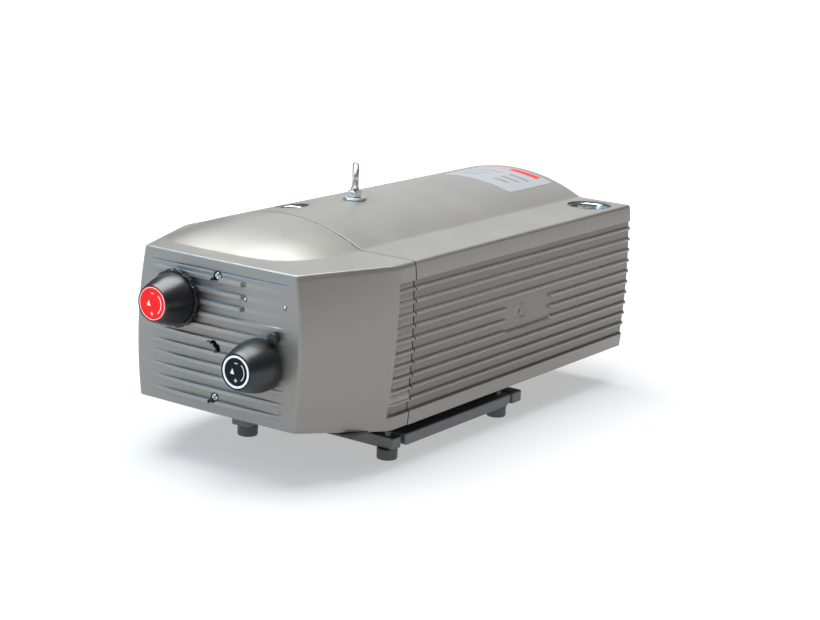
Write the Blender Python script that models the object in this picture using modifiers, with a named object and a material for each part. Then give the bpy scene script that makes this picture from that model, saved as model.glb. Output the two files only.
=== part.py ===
"""Rotary vane vacuum pump with its motor in a ribbed cast housing.

Local frame of the pump: +X to the right seen from the front, +Y to the rear, +Z up. The joint
between hood and main cover is the plane y = 0 and the lower rim of the cover is z = 0. The empty
pump_origin puts the middle of the feet at the world's origin, so the pump stands on z = 0.
"""
import math

import bmesh
import bpy
from mathutils import Matrix, Vector

# ---------------------------------------------------------------- fits
TOUCH_GAP = 0.0003        # between pieces that rest on each other
PRESS_GAP = 0.0001        # radial, between a bore and what sits in it for good
RUN_GAP = 0.0001          # radial, between a turned piece and its guide
PARTING_GAP = 0.0014      # open joint between hood and main cover

# ---------------------------------------------------------------- housing
COVER_LENGTH = 0.524      # main cover, parting plane to rear wall
COVER_HEIGHT = 0.200      # flat shoulders above the lower rim
COVER_HALF_TOP = 0.161    # half width at the shoulders
COVER_HALF_BOTTOM = 0.160
COVER_BARREL = 0.0055     # how far the side walls swell at mid height
COVER_WALL = 0.0035
EDGE_ROUND = 0.004        # upper edges
RIB_COUNT = 10
RIB_PITCH = 0.015
RIB_FIRST_Z = 0.0322      # middle of the lowest rib
RIB_DEPTH = 0.0040
RIB_TIP = 0.0032          # rib thickness at its tip
RIB_ROOT = 0.0070         # rib thickness where it leaves the wall
BAND_LOW_Z = 0.0172       # top of the plain band along the lower rim
BAND_HIGH_Z = 0.1780      # underside of the plain band below the shoulder

DOME_X = -0.033           # crown of the barrel that covers motor and pump
DOME_HALF = 0.114         # half its chord
DOME_RISE = 0.0275
DOME_STEPS = 16

PAD_Y = (0.204, 0.313)    # plain field in the ribs of the right wall
PAD_Z = (0.0700, 0.1143)
PAD_PLUG = (0.242, 0.097)
PAD_PLUG_DRILL = 0.004

HOOD_DEPTH = 0.164        # parting plane to the front corners
HOOD_SHOULDER = 0.036     # straight stretch behind the slanted cheeks
HOOD_HALF_TOP = 0.1125    # half width of the front face
HOOD_HALF_BOTTOM = 0.1135
HOOD_BARREL = 0.0095
HOOD_WALL = 0.0035
HOOD_BOW = 0.004          # how far the front face swells forward
HOOD_LIFT = 0.0165        # the lower rim rises towards the front
LENS_HALF_X = 0.114       # domed field on the hood, the end of the barrel
LENS_DEPTH = 0.132
LENS_POWER = 3.0

# ---------------------------------------------------------------- front face
SCREW_Z = (0.1815, 0.0365)
SCREW_HEAD_RADIUS = 0.0048
SCREW_SHANK_RADIUS = 0.003
SCREW_SINK = 0.006        # head below the face
SCREW_CUP_RADIUS = 0.0055
SCREW_BOSS_RADIUS = 0.0090
SCREW_BOSS_DEPTH = 0.0160
SCREW_CUP_FLOOR = 0.0045
SCREW_BITE = 0.010
SCREW_CLEAR = 0.0003
ACCESS_Z = 0.098
ACCESS_RADIUS = 0.0058

# ---------------------------------------------------------------- regulating valves
VALVES = {"vacuum": (-0.056, 0.147), "pressure": (0.070, 0.0905)}
KNOB_FRONT_Y = -0.2155    # face of the knobs
KNOB_BASE_RADIUS = 0.031
KNOB_BULGE = 1.012        # widest ring of the bell over its base
KNOB_NOSE_RADIUS = 0.0212
KNOB_FACE_GAP = 0.0020    # knob to hood
KNOB_WALL = 0.0030
KNOB_DISC_RADIUS = 0.0200
KNOB_DISC_DEPTH = 0.0016
SPINDLE_RADIUS = 0.006
SPINDLE_HUB_RADIUS = 0.010
SPINDLE_END_Y = -0.118
VALVE_BODY_RADIUS = 0.021
VALVE_BORE_RADIUS = 0.016
VALVE_BODY_END_Y = -0.100
VALVE_SEAT_DEPTH = 0.004
VALVE_SEAT_RADIUS = 0.008
SPRING_NUT_Y = -0.139     # rear face of the travelling nut at rest
SPRING_NUT_DEPTH = 0.006
VALVE_PLATE_Y = -0.108    # front face of the plate on its seat
VALVE_PLATE_DEPTH = 0.0035
SPRING_RADIUS = 0.0125
SPRING_WIRE = 0.0009
SPRING_TURNS = 5
LOCK_RING_INNER = KNOB_BASE_RADIUS * KNOB_BULGE + 0.0006
LOCK_RING_RADIUS = LOCK_RING_INNER + 0.0028
LOCK_RING_TEETH = 14
LOCK_RING_DEPTH = 0.0075
STOP_LUG_ANGLE = math.radians(62)
STOP_LUG_GAP = 0.0005
STOP_LUG_RADIUS = 0.0068
STOP_LUG_HEIGHT = 0.008

# ---------------------------------------------------------------- ports and lifting eye
SUCTION_PORT = (0.122, 0.474)
SUCTION_HOLE_RADIUS = 0.0295
SUCTION_SOCKET_RADIUS = 0.0285
SUCTION_THREAD_RADIUS = 0.0235
SUCTION_SOCKET_LOW = 0.150
EXHAUST_PORT = (-0.066, 0.055)
EXHAUST_HOLE_RADIUS = 0.0205
EXHAUST_SOCKET_RADIUS = 0.0195
EXHAUST_THREAD_RADIUS = 0.0145
EXHAUST_SOCKET_LOW = COVER_HEIGHT - 0.024
EXHAUST_SOCKET_TOP = COVER_HEIGHT + 0.0215
EYE_PLACE = (-0.033, 0.141)
EYE_TURN = math.radians(36.5)
EYE_RING_RADIUS = 0.0135
EYE_WIRE_RADIUS = 0.0043
EYE_STUD_RADIUS = 0.005
EYE_STUD_LOW = COVER_HEIGHT + 0.014
WASHER_RADIUS = 0.015
WASHER_HEIGHT = 0.003
NUT_FLATS = 0.017
NUT_HEIGHT = 0.008

# ---------------------------------------------------------------- base
FOOT_DROP = 0.054         # floor below the lower rim of the cover
FOOT_RADIUS = 0.0128
FOOT_STUD_RADIUS = 0.004
FOOT_STUD_TOP = -0.020
BAR_LOW = -0.040
BAR_EAR_TOP = -0.0245
BAR_HALF = 0.135
BAR_WEB_HALF = 0.104
FRONT_BAR_Y = (0.009, 0.0265)
REAR_BAR_Y = (0.282, 0.304)
RAIL_Y = (0.0355, 0.277)
RAIL_STEP_X = 0.116
RAIL_INNER_X = 0.108
FEET = {
    "front_right": (0.121, 0.0175),
    "front_left": (-0.062, -0.025),
    "rear_right": (0.1215, 0.2640),
    "rear_left": (-0.1215, 0.2640),
}
ARM_HALF = 0.016
TRAY_Z = (0.002, 0.006)
BAR_WEB_TOP = TRAY_Z[0] - TOUCH_GAP
TRAY_HALF = 0.150
TRAY_Y = (-0.096, 0.508)
TRAY_FRONT_HALF = 0.122

# ---------------------------------------------------------------- pump
SHAFT_X = -0.033
SHAFT_Z = 0.105
SHAFT_RADIUS = 0.0125
BORE_RADIUS = 0.060
ROTOR_RADIUS = 0.050
TANGENT_GAP = 0.0004      # rotor to bore where they come closest
CYLINDER_RADIUS = 0.076
CYLINDER_Y = (-0.058, 0.078)
ROTOR_END_GAP = 0.0003
SHIELD_THICKNESS = 0.016
SHIELD_HALF = 0.082
BEARING_RADIUS = 0.026
SHIELD_FLOOR = 0.004      # wall in front of the front bearing
SEAL_DEPTH = 0.005
SEAL_FLANGE = 0.004
ROTOR_SHAFT_Y = (-0.069, 0.436)
VANE_COUNT = 4
VANE_THICKNESS = 0.005
VANE_HEIGHT = 0.030
VANE_SLOT_GAP = 0.0001
VANE_SLOT_DEPTH = 0.0325
PORT_DRILL_RADIUS = 0.012

# ---------------------------------------------------------------- motor
MOTOR_Y = (0.185, 0.385)
MOTOR_RADIUS = 0.088
MOTOR_BORE = 0.080
MOTOR_FINS = 24
MOTOR_FIN_DEPTH = 0.007
STATOR_Y = (0.222, 0.348)
STATOR_BORE = 0.0490
AIR_GAP = 0.0005
WINDING_DEPTH = 0.024
WINDING_RADII = (0.056, 0.074)
MOTOR_SHIELD = 0.012
FAN_Y = (0.404, 0.430)
FAN_RADIUS = 0.074
FAN_BLADES = 9
FAN_LEAN = 0.16           # how far a blade leans round, in radians
SHROUD_Y = (0.399, 0.446)
SHROUD_RADIUS = 0.088
SHROUD_WALL = 0.0015
SHROUD_EYE = 0.045
TERMINAL_BOX = ((0.064, 0.130), (0.190, 0.290), (0.070, 0.140))
TERMINAL_WALL = 0.003
GLAND_RADIUS = 0.011
GLAND_BORE = 0.006
GLAND_LENGTH = 0.024

# ---------------------------------------------------------------- filters and silencer
FILTER_RADIUS = 0.0305
FILTER_WALL = 0.002
FILTER_Z = (0.012, 0.148)
CARTRIDGE_RADII = (0.014, 0.026)
SILENCER_PLACE = (0.108, 0.058)
SILENCER_RADIUS = 0.036
SILENCER_Y = (0.050, 0.176)
SILENCER_CORE = 0.016

SEGMENTS = 24
SHAFT_SEGMENTS = 24
ROTOR_SEGMENTS = 48
SMALL_SEGMENTS = 16

# ---------------------------------------------------------------- scene and materials
def clear_scene():
    """Remove every object, so that the script can be run again."""
    for obj in list(bpy.data.objects):
        bpy.data.objects.remove(obj, do_unlink=True)


def new_collection(name):
    """A fresh collection in the scene."""
    old = bpy.data.collections.get(name)
    if old:
        bpy.data.collections.remove(old)
    collection = bpy.data.collections.new(name)
    bpy.context.scene.collection.children.link(collection)
    return collection


clear_scene()
PARTS = new_collection("rotary_vane_vacuum_pump")
CUTTERS = new_collection("cutters")
ORIGIN = bpy.data.objects.new("pump_origin", None)
PARTS.objects.link(ORIGIN)
ORIGIN.location = (0.0, -(KNOB_FRONT_Y + COVER_LENGTH) / 2, FOOT_DROP)

FINISHES = {
    "cast_paint": ((0.50, 0.51, 0.50), 0.45, 0.35),
    "black_plastic": ((0.015, 0.016, 0.018), 0.42, 0.0),
    "red_plastic": ((0.80, 0.03, 0.02), 0.35, 0.0),
    "zinc_steel": ((0.62, 0.63, 0.64), 0.30, 1.0),
    "bright_steel": ((0.70, 0.70, 0.71), 0.20, 1.0),
    "spring_steel": ((0.35, 0.36, 0.38), 0.30, 1.0),
    "cast_iron": ((0.20, 0.20, 0.21), 0.60, 0.8),
    "raw_aluminium": ((0.66, 0.67, 0.68), 0.40, 1.0),
    "carbon": ((0.03, 0.03, 0.03), 0.55, 0.0),
    "copper_winding": ((0.55, 0.22, 0.08), 0.45, 0.6),
    "foot_rubber": ((0.05, 0.055, 0.06), 0.70, 0.0),
    "filter_felt": ((0.75, 0.72, 0.62), 0.90, 0.0),
    "sheet_steel": ((0.45, 0.46, 0.47), 0.40, 0.9),
    "brass": ((0.70, 0.52, 0.22), 0.30, 1.0),
}


def material(finish):
    """The Principled material of a finish, made once."""
    found = bpy.data.materials.get(finish)
    if found:
        return found
    colour, roughness, metallic = FINISHES[finish]
    made = bpy.data.materials.new(finish)
    made.use_nodes = True
    shader = made.node_tree.nodes["Principled BSDF"]
    shader.inputs["Base Color"].default_value = (*colour, 1.0)
    shader.inputs["Roughness"].default_value = roughness
    shader.inputs["Metallic"].default_value = metallic
    return made


# ---------------------------------------------------------------- building tools
def put(name, mesh, finish, location=(0, 0, 0), rotation=(0, 0, 0), parent=None):
    """Link a mesh as a part under the pump's origin or another empty."""
    obj = bpy.data.objects.new(name, mesh)
    PARTS.objects.link(obj)
    obj.parent = parent or ORIGIN
    obj.location = location
    obj.rotation_euler = rotation
    mesh.materials.append(material(finish))
    return obj


def put_cutter(name, mesh, location=(0, 0, 0), rotation=(0, 0, 0)):
    """Link a mesh as a tool for Boolean modifiers."""
    obj = bpy.data.objects.new(name, mesh)
    CUTTERS.objects.link(obj)
    obj.parent = ORIGIN
    obj.location = location
    obj.rotation_euler = rotation
    obj.hide_render = True
    obj.display_type = "WIRE"
    return obj


def boolean(target, tool, operation="DIFFERENCE"):
    """Cut the tool from the target, or join it on."""
    modifier = target.modifiers.new(f"{operation.lower()}_{tool.name}"[:60], "BOOLEAN")
    modifier.operation = operation
    modifier.object = tool
    modifier.solver = "EXACT"


def smooth(mesh, angle=35.0):
    """Smooth shading with sharp edges past an angle."""
    mesh.shade_smooth()
    mesh.set_sharp_from_angle(angle=math.radians(angle))


def box_mesh(name, low, high):
    """A cuboid between two corners."""
    bm = bmesh.new()
    bmesh.ops.create_cube(bm, size=1.0)
    size = [b - a for a, b in zip(low, high)]
    middle = [(a + b) / 2 for a, b in zip(low, high)]
    bmesh.ops.scale(bm, vec=size, verts=bm.verts)
    bmesh.ops.translate(bm, vec=middle, verts=bm.verts)
    mesh = bpy.data.meshes.new(name)
    bm.to_mesh(mesh)
    bm.free()
    return mesh


def rod_mesh(name, radius, start, end, segments=SEGMENTS, axis="Y"):
    """A cylinder along an axis through the local origin, from start to end."""
    bm = bmesh.new()
    bmesh.ops.create_cone(
        bm, cap_ends=True, segments=segments, radius1=radius, radius2=radius, depth=end - start
    )
    bmesh.ops.translate(bm, vec=(0, 0, (start + end) / 2), verts=bm.verts)
    if axis == "Y":
        turn = Matrix.Rotation(math.radians(-90), 4, "X")
        bmesh.ops.transform(bm, matrix=turn, verts=bm.verts)
    mesh = bpy.data.meshes.new(name)
    bm.to_mesh(mesh)
    bm.free()
    smooth(mesh)
    return mesh


def prism_mesh(name, outline, start, end, axis="Y"):
    """A flat outline filled and carried along an axis.

    For axis Y the outline holds (x, z) points, for axis Z it holds (x, y) points.
    """
    bm = bmesh.new()
    if axis == "Y":
        verts = [bm.verts.new((x, start, z)) for x, z in outline]
        travel = (0, end - start, 0)
    else:
        verts = [bm.verts.new((x, y, start)) for x, y in outline]
        travel = (0, 0, end - start)
    face = bm.faces.new(verts)
    grown = bmesh.ops.extrude_face_region(bm, geom=[face])
    moved = [g for g in grown["geom"] if isinstance(g, bmesh.types.BMVert)]
    bmesh.ops.translate(bm, vec=travel, verts=moved)
    bmesh.ops.recalc_face_normals(bm, faces=bm.faces)
    mesh = bpy.data.meshes.new(name)
    bm.to_mesh(mesh)
    bm.free()
    return mesh


def lathe(name, profile, finish, place, axis="Y", segments=SEGMENTS, closed=False, parent=None):
    """A turned part: (radius, height) points carried round an axis by a Screw modifier.

    The profile runs down the outer side from the far end to the near end. A closed profile makes a
    ring. Height runs along +Y or +Z from the place.
    """
    mesh = bpy.data.meshes.new(name)
    count = len(profile)
    edges = [(i, i + 1) for i in range(count - 1)]
    if closed:
        edges.append((count - 1, 0))
    mesh.from_pydata([(radius, 0, height) for radius, height in profile], edges, [])
    turn = (math.radians(-90), 0, 0) if axis == "Y" else (0, 0, 0)
    obj = put(name, mesh, finish, place, turn, parent)
    screw = obj.modifiers.new("turn", "SCREW")
    screw.axis = "Z"
    screw.steps = segments
    screw.render_steps = segments
    screw.use_merge_vertices = True
    screw.merge_threshold = 0.00001
    screw.use_smooth_shade = True
    return obj


def ring(name, outer, inner, start, end, finish, place, axis="Y", segments=SEGMENTS, parent=None):
    """A plain ring or sleeve."""
    profile = [(inner, end), (outer, end), (outer, start), (inner, start)]
    return lathe(name, profile, finish, place, axis, segments, True, parent)


def part_rod(name, radius, start, end, finish, place, axis="Y", segments=SEGMENTS, parent=None):
    """A plain solid cylinder as a part."""
    return put(name, rod_mesh(name, radius, start, end, segments, axis), finish, place, (0, 0, 0), parent)


def blend(low, high, share):
    """Linear step from low to high."""
    return low + (high - low) * share


def barrel(height, bottom, top, swell):
    """Half width of a swelling wall at a height above the lower rim."""
    share = height / COVER_HEIGHT
    return blend(bottom, top, share) + 4 * swell * share * (1 - share)


def cover_half(height):
    """Half width of the main cover over the tips of its ribs."""
    return barrel(height, COVER_HALF_BOTTOM, COVER_HALF_TOP, COVER_BARREL)


def hood_half(height):
    """Half width of the hood's front face."""
    return barrel(height, HOOD_HALF_BOTTOM, HOOD_HALF_TOP, HOOD_BARREL)


def face_y(x):
    """Y of the hood's front face, which swells forward in the middle."""
    return -HOOD_DEPTH - HOOD_BOW * (1 - (x / HOOD_HALF_TOP) ** 2)


# ---------------------------------------------------------------- main cover
def side_outline():
    """Right wall from the lower rim to the shoulder, ribs included."""
    points = [(cover_half(0), 0.0), (cover_half(BAND_LOW_Z), BAND_LOW_Z)]
    points.append((cover_half(BAND_LOW_Z) - RIB_DEPTH, BAND_LOW_Z + RIB_DEPTH / 3))
    for index in range(RIB_COUNT):
        middle = RIB_FIRST_Z + RIB_PITCH * index
        half = cover_half(middle)
        points.append((half - RIB_DEPTH, middle - RIB_ROOT / 2))
        points.append((half, middle - RIB_TIP / 2))
        points.append((half, middle + RIB_TIP / 2))
        points.append((half - RIB_DEPTH, middle + RIB_ROOT / 2))
    points.append((cover_half(BAND_HIGH_Z) - RIB_DEPTH, BAND_HIGH_Z - RIB_DEPTH / 3))
    points.append((cover_half(BAND_HIGH_Z), BAND_HIGH_Z))
    for step in range(4):
        turn = math.radians(30 * step)
        x = COVER_HALF_TOP - EDGE_ROUND * (1 - math.cos(turn))
        points.append((x, COVER_HEIGHT - EDGE_ROUND * (1 - math.sin(turn))))
    return points


def dome_radius(chord_half=DOME_HALF, rise=DOME_RISE):
    """Radius of the arc over a chord."""
    return (chord_half**2 + rise**2) / (2 * rise)


def dome_height(x, sink=0.0):
    """Height of the barrel's skin, or of a surface sunk below it."""
    radius = dome_radius()
    level = COVER_HEIGHT + DOME_RISE - radius
    reach = (radius - sink) ** 2 - (x - DOME_X) ** 2
    return level + math.sqrt(reach)


def dome_outline(sink=0.0):
    """The barrel's arc from right to left."""
    radius = dome_radius() - sink
    level = COVER_HEIGHT + DOME_RISE - dome_radius()
    half_angle = math.acos((COVER_HEIGHT - sink - level) / radius)
    points = []
    for step in range(DOME_STEPS + 1):
        angle = blend(half_angle, -half_angle, step / DOME_STEPS)
        points.append((DOME_X + radius * math.sin(angle), level + radius * math.cos(angle)))
    return points


def mirrored(points):
    """The same points on the left, in the order that carries on round."""
    return [(-x, z) for x, z in reversed(points)]


def build_main_cover():
    """Ribbed shell, open below and towards the hood, with its port and eye holes."""
    side = side_outline()
    outline = side + dome_outline() + mirrored(side)
    outer = prism_mesh("main_cover", outline, PARTING_GAP / 2, COVER_LENGTH)
    cover = put("main_cover", outer, "cast_paint")
    inset = RIB_DEPTH + COVER_WALL
    heights = [-0.01] + [COVER_HEIGHT * share / 5 for share in range(1, 5)]
    wall = [(cover_half(max(height, 0.0)) - inset, height) for height in heights]
    wall.append((COVER_HALF_TOP - inset, COVER_HEIGHT - COVER_WALL))
    inner = wall + dome_outline(COVER_WALL) + mirrored(wall)
    hollow = prism_mesh("cover_hollow", inner, -0.01, COVER_LENGTH - COVER_WALL)
    boolean(cover, put_cutter("cover_hollow", hollow))
    pad_low = (cover_half(PAD_Z[0]) - RIB_DEPTH, PAD_Y[0], PAD_Z[0])
    pad = box_mesh("pad_cutter", pad_low, (0.2, PAD_Y[1], PAD_Z[1]))
    boolean(cover, put_cutter("pad_cutter", pad))
    plug = rod_mesh("plug_hole", PAD_PLUG_DRILL, -0.02, 0.02, SMALL_SEGMENTS, "Z")
    turn = (0, math.radians(90), 0)
    place = (cover_half(PAD_PLUG[1]), PAD_PLUG[0], PAD_PLUG[1])
    boolean(cover, put_cutter("plug_hole", plug, place, turn))
    holes = {
        "suction_hole": (SUCTION_PORT, SUCTION_HOLE_RADIUS, SEGMENTS),
        "exhaust_hole": (EXHAUST_PORT, EXHAUST_HOLE_RADIUS, SEGMENTS),
        "eye_hole": (EYE_PLACE, EYE_STUD_RADIUS + SCREW_CLEAR, SMALL_SEGMENTS),
    }
    for name, (place, radius, segments) in holes.items():
        mesh = rod_mesh(name, radius, COVER_HEIGHT - 0.025, COVER_HEIGHT + 0.06, segments, "Z")
        boolean(cover, put_cutter(name, mesh, (*place, 0)))


# ---------------------------------------------------------------- hood
def hood_plan(height):
    """Half of the hood's outline seen from above, from the parting plane to the front middle."""
    half = cover_half(height)
    front = hood_half(height)
    cheek = Vector((front - half, HOOD_SHOULDER - HOOD_DEPTH))
    points = [(half, -PARTING_GAP / 2), (half, -HOOD_SHOULDER * 0.85)]
    for share in (0.04, 0.3, 0.65, 0.97):
        points.append((half + cheek.x * share, -HOOD_SHOULDER + cheek.y * share))
    corner = 0.004
    points.append((front - corner * 0.4, -HOOD_DEPTH - corner * 0.1))
    for share in (0.93, 0.72, 0.48, 0.24, 0.0):
        x = front * share
        points.append((x, -HOOD_DEPTH - HOOD_BOW * (1 - share**2)))
    return points


def lens_rise(x, y):
    """Extra height of the hood's domed field, zero at its rim."""
    reach = abs((x - DOME_X) / LENS_HALF_X) ** LENS_POWER + abs(y / LENS_DEPTH) ** LENS_POWER
    share = min(reach, 1.0) ** (1 / LENS_POWER)
    return DOME_RISE * (1 - share**2)


def rim_lift(y):
    """Height of the hood's lower rim."""
    run = max(-y - HOOD_SHOULDER, 0.0) / (HOOD_DEPTH - HOOD_SHOULDER)
    return HOOD_LIFT * run


def hood_rows():
    """Rows of skin points from the lower rim up the wall and over the top to the parting plane."""
    rows = []
    wall_shares = (0.0, 0.12, 0.3, 0.5, 0.7, 0.88, 0.975)
    for share in wall_shares:
        half = hood_plan(COVER_HEIGHT * share)
        ring_points = half + [(-x, y) for x, y in reversed(half[:-1])]
        row = []
        for x, y in ring_points:
            low = rim_lift(y)
            row.append(Vector((x, y, blend(low, COVER_HEIGHT, share))))
        rows.append(row)
    half = hood_plan(COVER_HEIGHT)
    rim = half + [(-x, y) for x, y in reversed(half[:-1])]
    count = len(rim)
    for share in (0.02, 0.15, 0.3, 0.45, 0.6, 0.75, 0.88, 1.0):
        row = []
        for index, (x, y) in enumerate(rim):
            target = blend(COVER_HALF_TOP, -COVER_HALF_TOP, index / (count - 1))
            here = Vector((blend(x, target, share), blend(y, -PARTING_GAP / 2, share)))
            row.append(Vector((here.x, here.y, COVER_HEIGHT + lens_rise(here.x, here.y))))
        rows.append(row)
    return rows


def build_front_hood():
    """Tapered hood: one skin with a wall, screw bosses inside, and holes for valves and screws."""
    rows = hood_rows()
    bm = bmesh.new()
    grid = [[bm.verts.new(point) for point in row] for row in rows]
    for lower, upper in zip(grid, grid[1:]):
        for index in range(len(lower) - 1):
            corners = (lower[index], upper[index], upper[index + 1], lower[index + 1])
            bm.faces.new(corners)
    bmesh.ops.remove_doubles(bm, verts=bm.verts, dist=0.00001)
    mesh = bpy.data.meshes.new("front_hood")
    bm.to_mesh(mesh)
    bm.free()
    smooth(mesh)
    hood = put("front_hood", mesh, "cast_paint")
    wall = hood.modifiers.new("wall", "SOLIDIFY")
    wall.thickness = HOOD_WALL
    wall.offset = -1.0
    wall.use_even_offset = True
    for index, height in enumerate(SCREW_Z):
        place = (0, face_y(0), height)
        depth = SCREW_BOSS_DEPTH
        boss = rod_mesh(f"screw_boss_{index}", SCREW_BOSS_RADIUS, 0.001, depth, SMALL_SEGMENTS)
        boolean(hood, put_cutter(f"screw_boss_{index}", boss, place), "UNION")
        cup_end = depth - SCREW_CUP_FLOOR
        cup = rod_mesh(f"screw_cup_{index}", SCREW_CUP_RADIUS, -0.01, cup_end, SMALL_SEGMENTS)
        boolean(hood, put_cutter(f"screw_cup_{index}", cup, place))
        drill_radius = SCREW_SHANK_RADIUS + SCREW_CLEAR
        drill = rod_mesh(f"screw_drill_{index}", drill_radius, 0.0, depth + 0.01, SMALL_SEGMENTS)
        boolean(hood, put_cutter(f"screw_drill_{index}", drill, place))
    access = rod_mesh("access_hole", ACCESS_RADIUS, -0.02, 0.02, SMALL_SEGMENTS)
    boolean(hood, put_cutter("access_hole", access, (0, -HOOD_DEPTH, ACCESS_Z)))
    for name, (x, z) in VALVES.items():
        hole = rod_mesh(f"{name}_hole", SPINDLE_HUB_RADIUS + 0.001, -0.02, 0.02)
        boolean(hood, put_cutter(f"{name}_hole", hole, (x, -HOOD_DEPTH, z)))


def build_hood_screws():
    """Long screws that hold the hood to threads in the pump's front shield."""
    head_y = face_y(0) + SCREW_SINK
    floor_y = face_y(0) + SCREW_BOSS_DEPTH - SCREW_CUP_FLOOR
    tip_y = CYLINDER_Y[0] - TOUCH_GAP - SHIELD_THICKNESS + SCREW_BITE
    for name, height in zip(("upper", "lower"), SCREW_Z):
        profile = [
            (0, tip_y - head_y),
            (SCREW_SHANK_RADIUS, tip_y - head_y),
            (SCREW_SHANK_RADIUS, floor_y - TOUCH_GAP - head_y),
            (SCREW_HEAD_RADIUS, floor_y - TOUCH_GAP - head_y),
            (SCREW_HEAD_RADIUS, 0.0008),
            (SCREW_HEAD_RADIUS - 0.0008, 0.0),
            (0, 0.0),
        ]
        lathe(f"hood_screw_{name}", profile, "zinc_steel", (0, head_y, height), segments=SMALL_SEGMENTS)


# ---------------------------------------------------------------- regulating valves
def build_knob(name, x, axle):
    """Bell-shaped hand knob, hollow from behind, on its spindle."""
    depth = face_y(x) - KNOB_FACE_GAP - KNOB_FRONT_Y
    top = depth - KNOB_DISC_DEPTH
    shape = (
        (1.0, 0.0),
        (KNOB_BULGE, 0.18),
        (0.985, 0.36),
        (0.915, 0.56),
        (0.815, 0.76),
        (0.725, 0.93),
    )
    outer = [(KNOB_BASE_RADIUS * r, top * h) for r, h in shape]
    nose = [(KNOB_NOSE_RADIUS, top), (SPINDLE_RADIUS + PRESS_GAP, top)]
    hub = [(SPINDLE_RADIUS + PRESS_GAP, top * 0.35), (SPINDLE_HUB_RADIUS, top * 0.35)]
    roof = top - KNOB_WALL * 1.5
    inner = [(SPINDLE_HUB_RADIUS, roof), (KNOB_NOSE_RADIUS - KNOB_WALL, roof)]
    inner += [(r - KNOB_WALL, h) for r, h in reversed(outer[:-1])]
    loop = outer + nose + hub + inner
    profile = [(radius, -height) for radius, height in loop]
    lathe(f"{name}_knob", profile, "black_plastic", (0, 0, 0), closed=True, parent=axle)
    disc = [
        (0, -top - TOUCH_GAP),
        (KNOB_DISC_RADIUS, -top - TOUCH_GAP),
        (KNOB_DISC_RADIUS, -depth + 0.0003),
        (KNOB_DISC_RADIUS - 0.0004, -depth),
        (0, -depth),
    ]
    finish = "red_plastic" if name == "vacuum" else "black_plastic"
    lathe(f"{name}_knob_disc", disc, finish, (0, 0, 0), parent=axle)
    behind = SPINDLE_END_Y - axle.location.y
    part_rod(
        f"{name}_spindle", SPINDLE_RADIUS, -top + 0.0005, behind,
        "brass", (0, 0, 0), segments=SHAFT_SEGMENTS, parent=axle,
    )


def spring_mesh(name, start, end):
    """Open coil spring between two planes, with its centre line worked out turn by turn."""
    steps = SPRING_TURNS * 12
    curve = bpy.data.curves.new(name, "CURVE")
    curve.dimensions = "3D"
    spline = curve.splines.new("POLY")
    spline.points.add(steps)
    for step in range(steps + 1):
        angle = 2 * math.pi * SPRING_TURNS * step / steps
        y = blend(start + SPRING_WIRE, end - SPRING_WIRE, step / steps)
        x = SPRING_RADIUS * math.cos(angle)
        z = SPRING_RADIUS * math.sin(angle)
        spline.points[step].co = (x, y, z, 1)
    curve.bevel_depth = SPRING_WIRE
    curve.bevel_resolution = 1
    curve.use_fill_caps = True
    holder = bpy.data.objects.new(f"{name}_curve", curve)
    CUTTERS.objects.link(holder)
    graph = bpy.context.evaluated_depsgraph_get()
    mesh = bpy.data.meshes.new_from_object(holder.evaluated_get(graph))
    mesh.name = name
    bm = bmesh.new()
    bm.from_mesh(mesh)
    bmesh.ops.remove_doubles(bm, verts=bm.verts, dist=0.000001)
    bmesh.ops.recalc_face_normals(bm, faces=bm.faces)
    bm.to_mesh(mesh)
    bm.free()
    bpy.data.objects.remove(holder, do_unlink=True)
    mesh.shade_smooth()
    return mesh


def build_valve(name, x, z):
    """One regulating valve: knob and spindle, body, travelling nut, spring and valve plate."""
    axle = bpy.data.objects.new(f"{name}_axle", None)
    PARTS.objects.link(axle)
    axle.parent = ORIGIN
    axle.location = (x, face_y(x) - KNOB_FACE_GAP, z)
    build_knob(name, x, axle)
    body_front = face_y(x) + HOOD_WALL + 0.002
    body = [
        (VALVE_BORE_RADIUS, VALVE_BODY_END_Y - VALVE_SEAT_DEPTH),
        (VALVE_SEAT_RADIUS, VALVE_BODY_END_Y - VALVE_SEAT_DEPTH),
        (VALVE_SEAT_RADIUS, VALVE_BODY_END_Y),
        (VALVE_BODY_RADIUS, VALVE_BODY_END_Y),
        (VALVE_BODY_RADIUS, body_front),
        (SPINDLE_RADIUS + RUN_GAP, body_front),
        (SPINDLE_RADIUS + RUN_GAP, body_front + 0.004),
        (VALVE_BORE_RADIUS, body_front + 0.004),
    ]
    lathe(f"{name}_valve_body", body, "raw_aluminium", (x, 0, z), closed=True)
    nut_front = SPRING_NUT_Y - SPRING_NUT_DEPTH
    ring(
        f"{name}_spring_nut", VALVE_BORE_RADIUS - 2 * RUN_GAP, SPINDLE_RADIUS + RUN_GAP,
        nut_front, SPRING_NUT_Y, "brass", (x, 0, z), segments=SHAFT_SEGMENTS,
    )
    part_rod(
        f"{name}_valve_plate", VALVE_BORE_RADIUS - 2 * RUN_GAP, VALVE_PLATE_Y,
        VALVE_PLATE_Y + VALVE_PLATE_DEPTH, "brass", (x, 0, z), segments=SHAFT_SEGMENTS,
    )
    coil = spring_mesh(f"{name}_spring", SPRING_NUT_Y + TOUCH_GAP, VALVE_PLATE_Y - TOUCH_GAP)
    put(f"{name}_spring", coil, "spring_steel", (x, 0, z))


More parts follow.
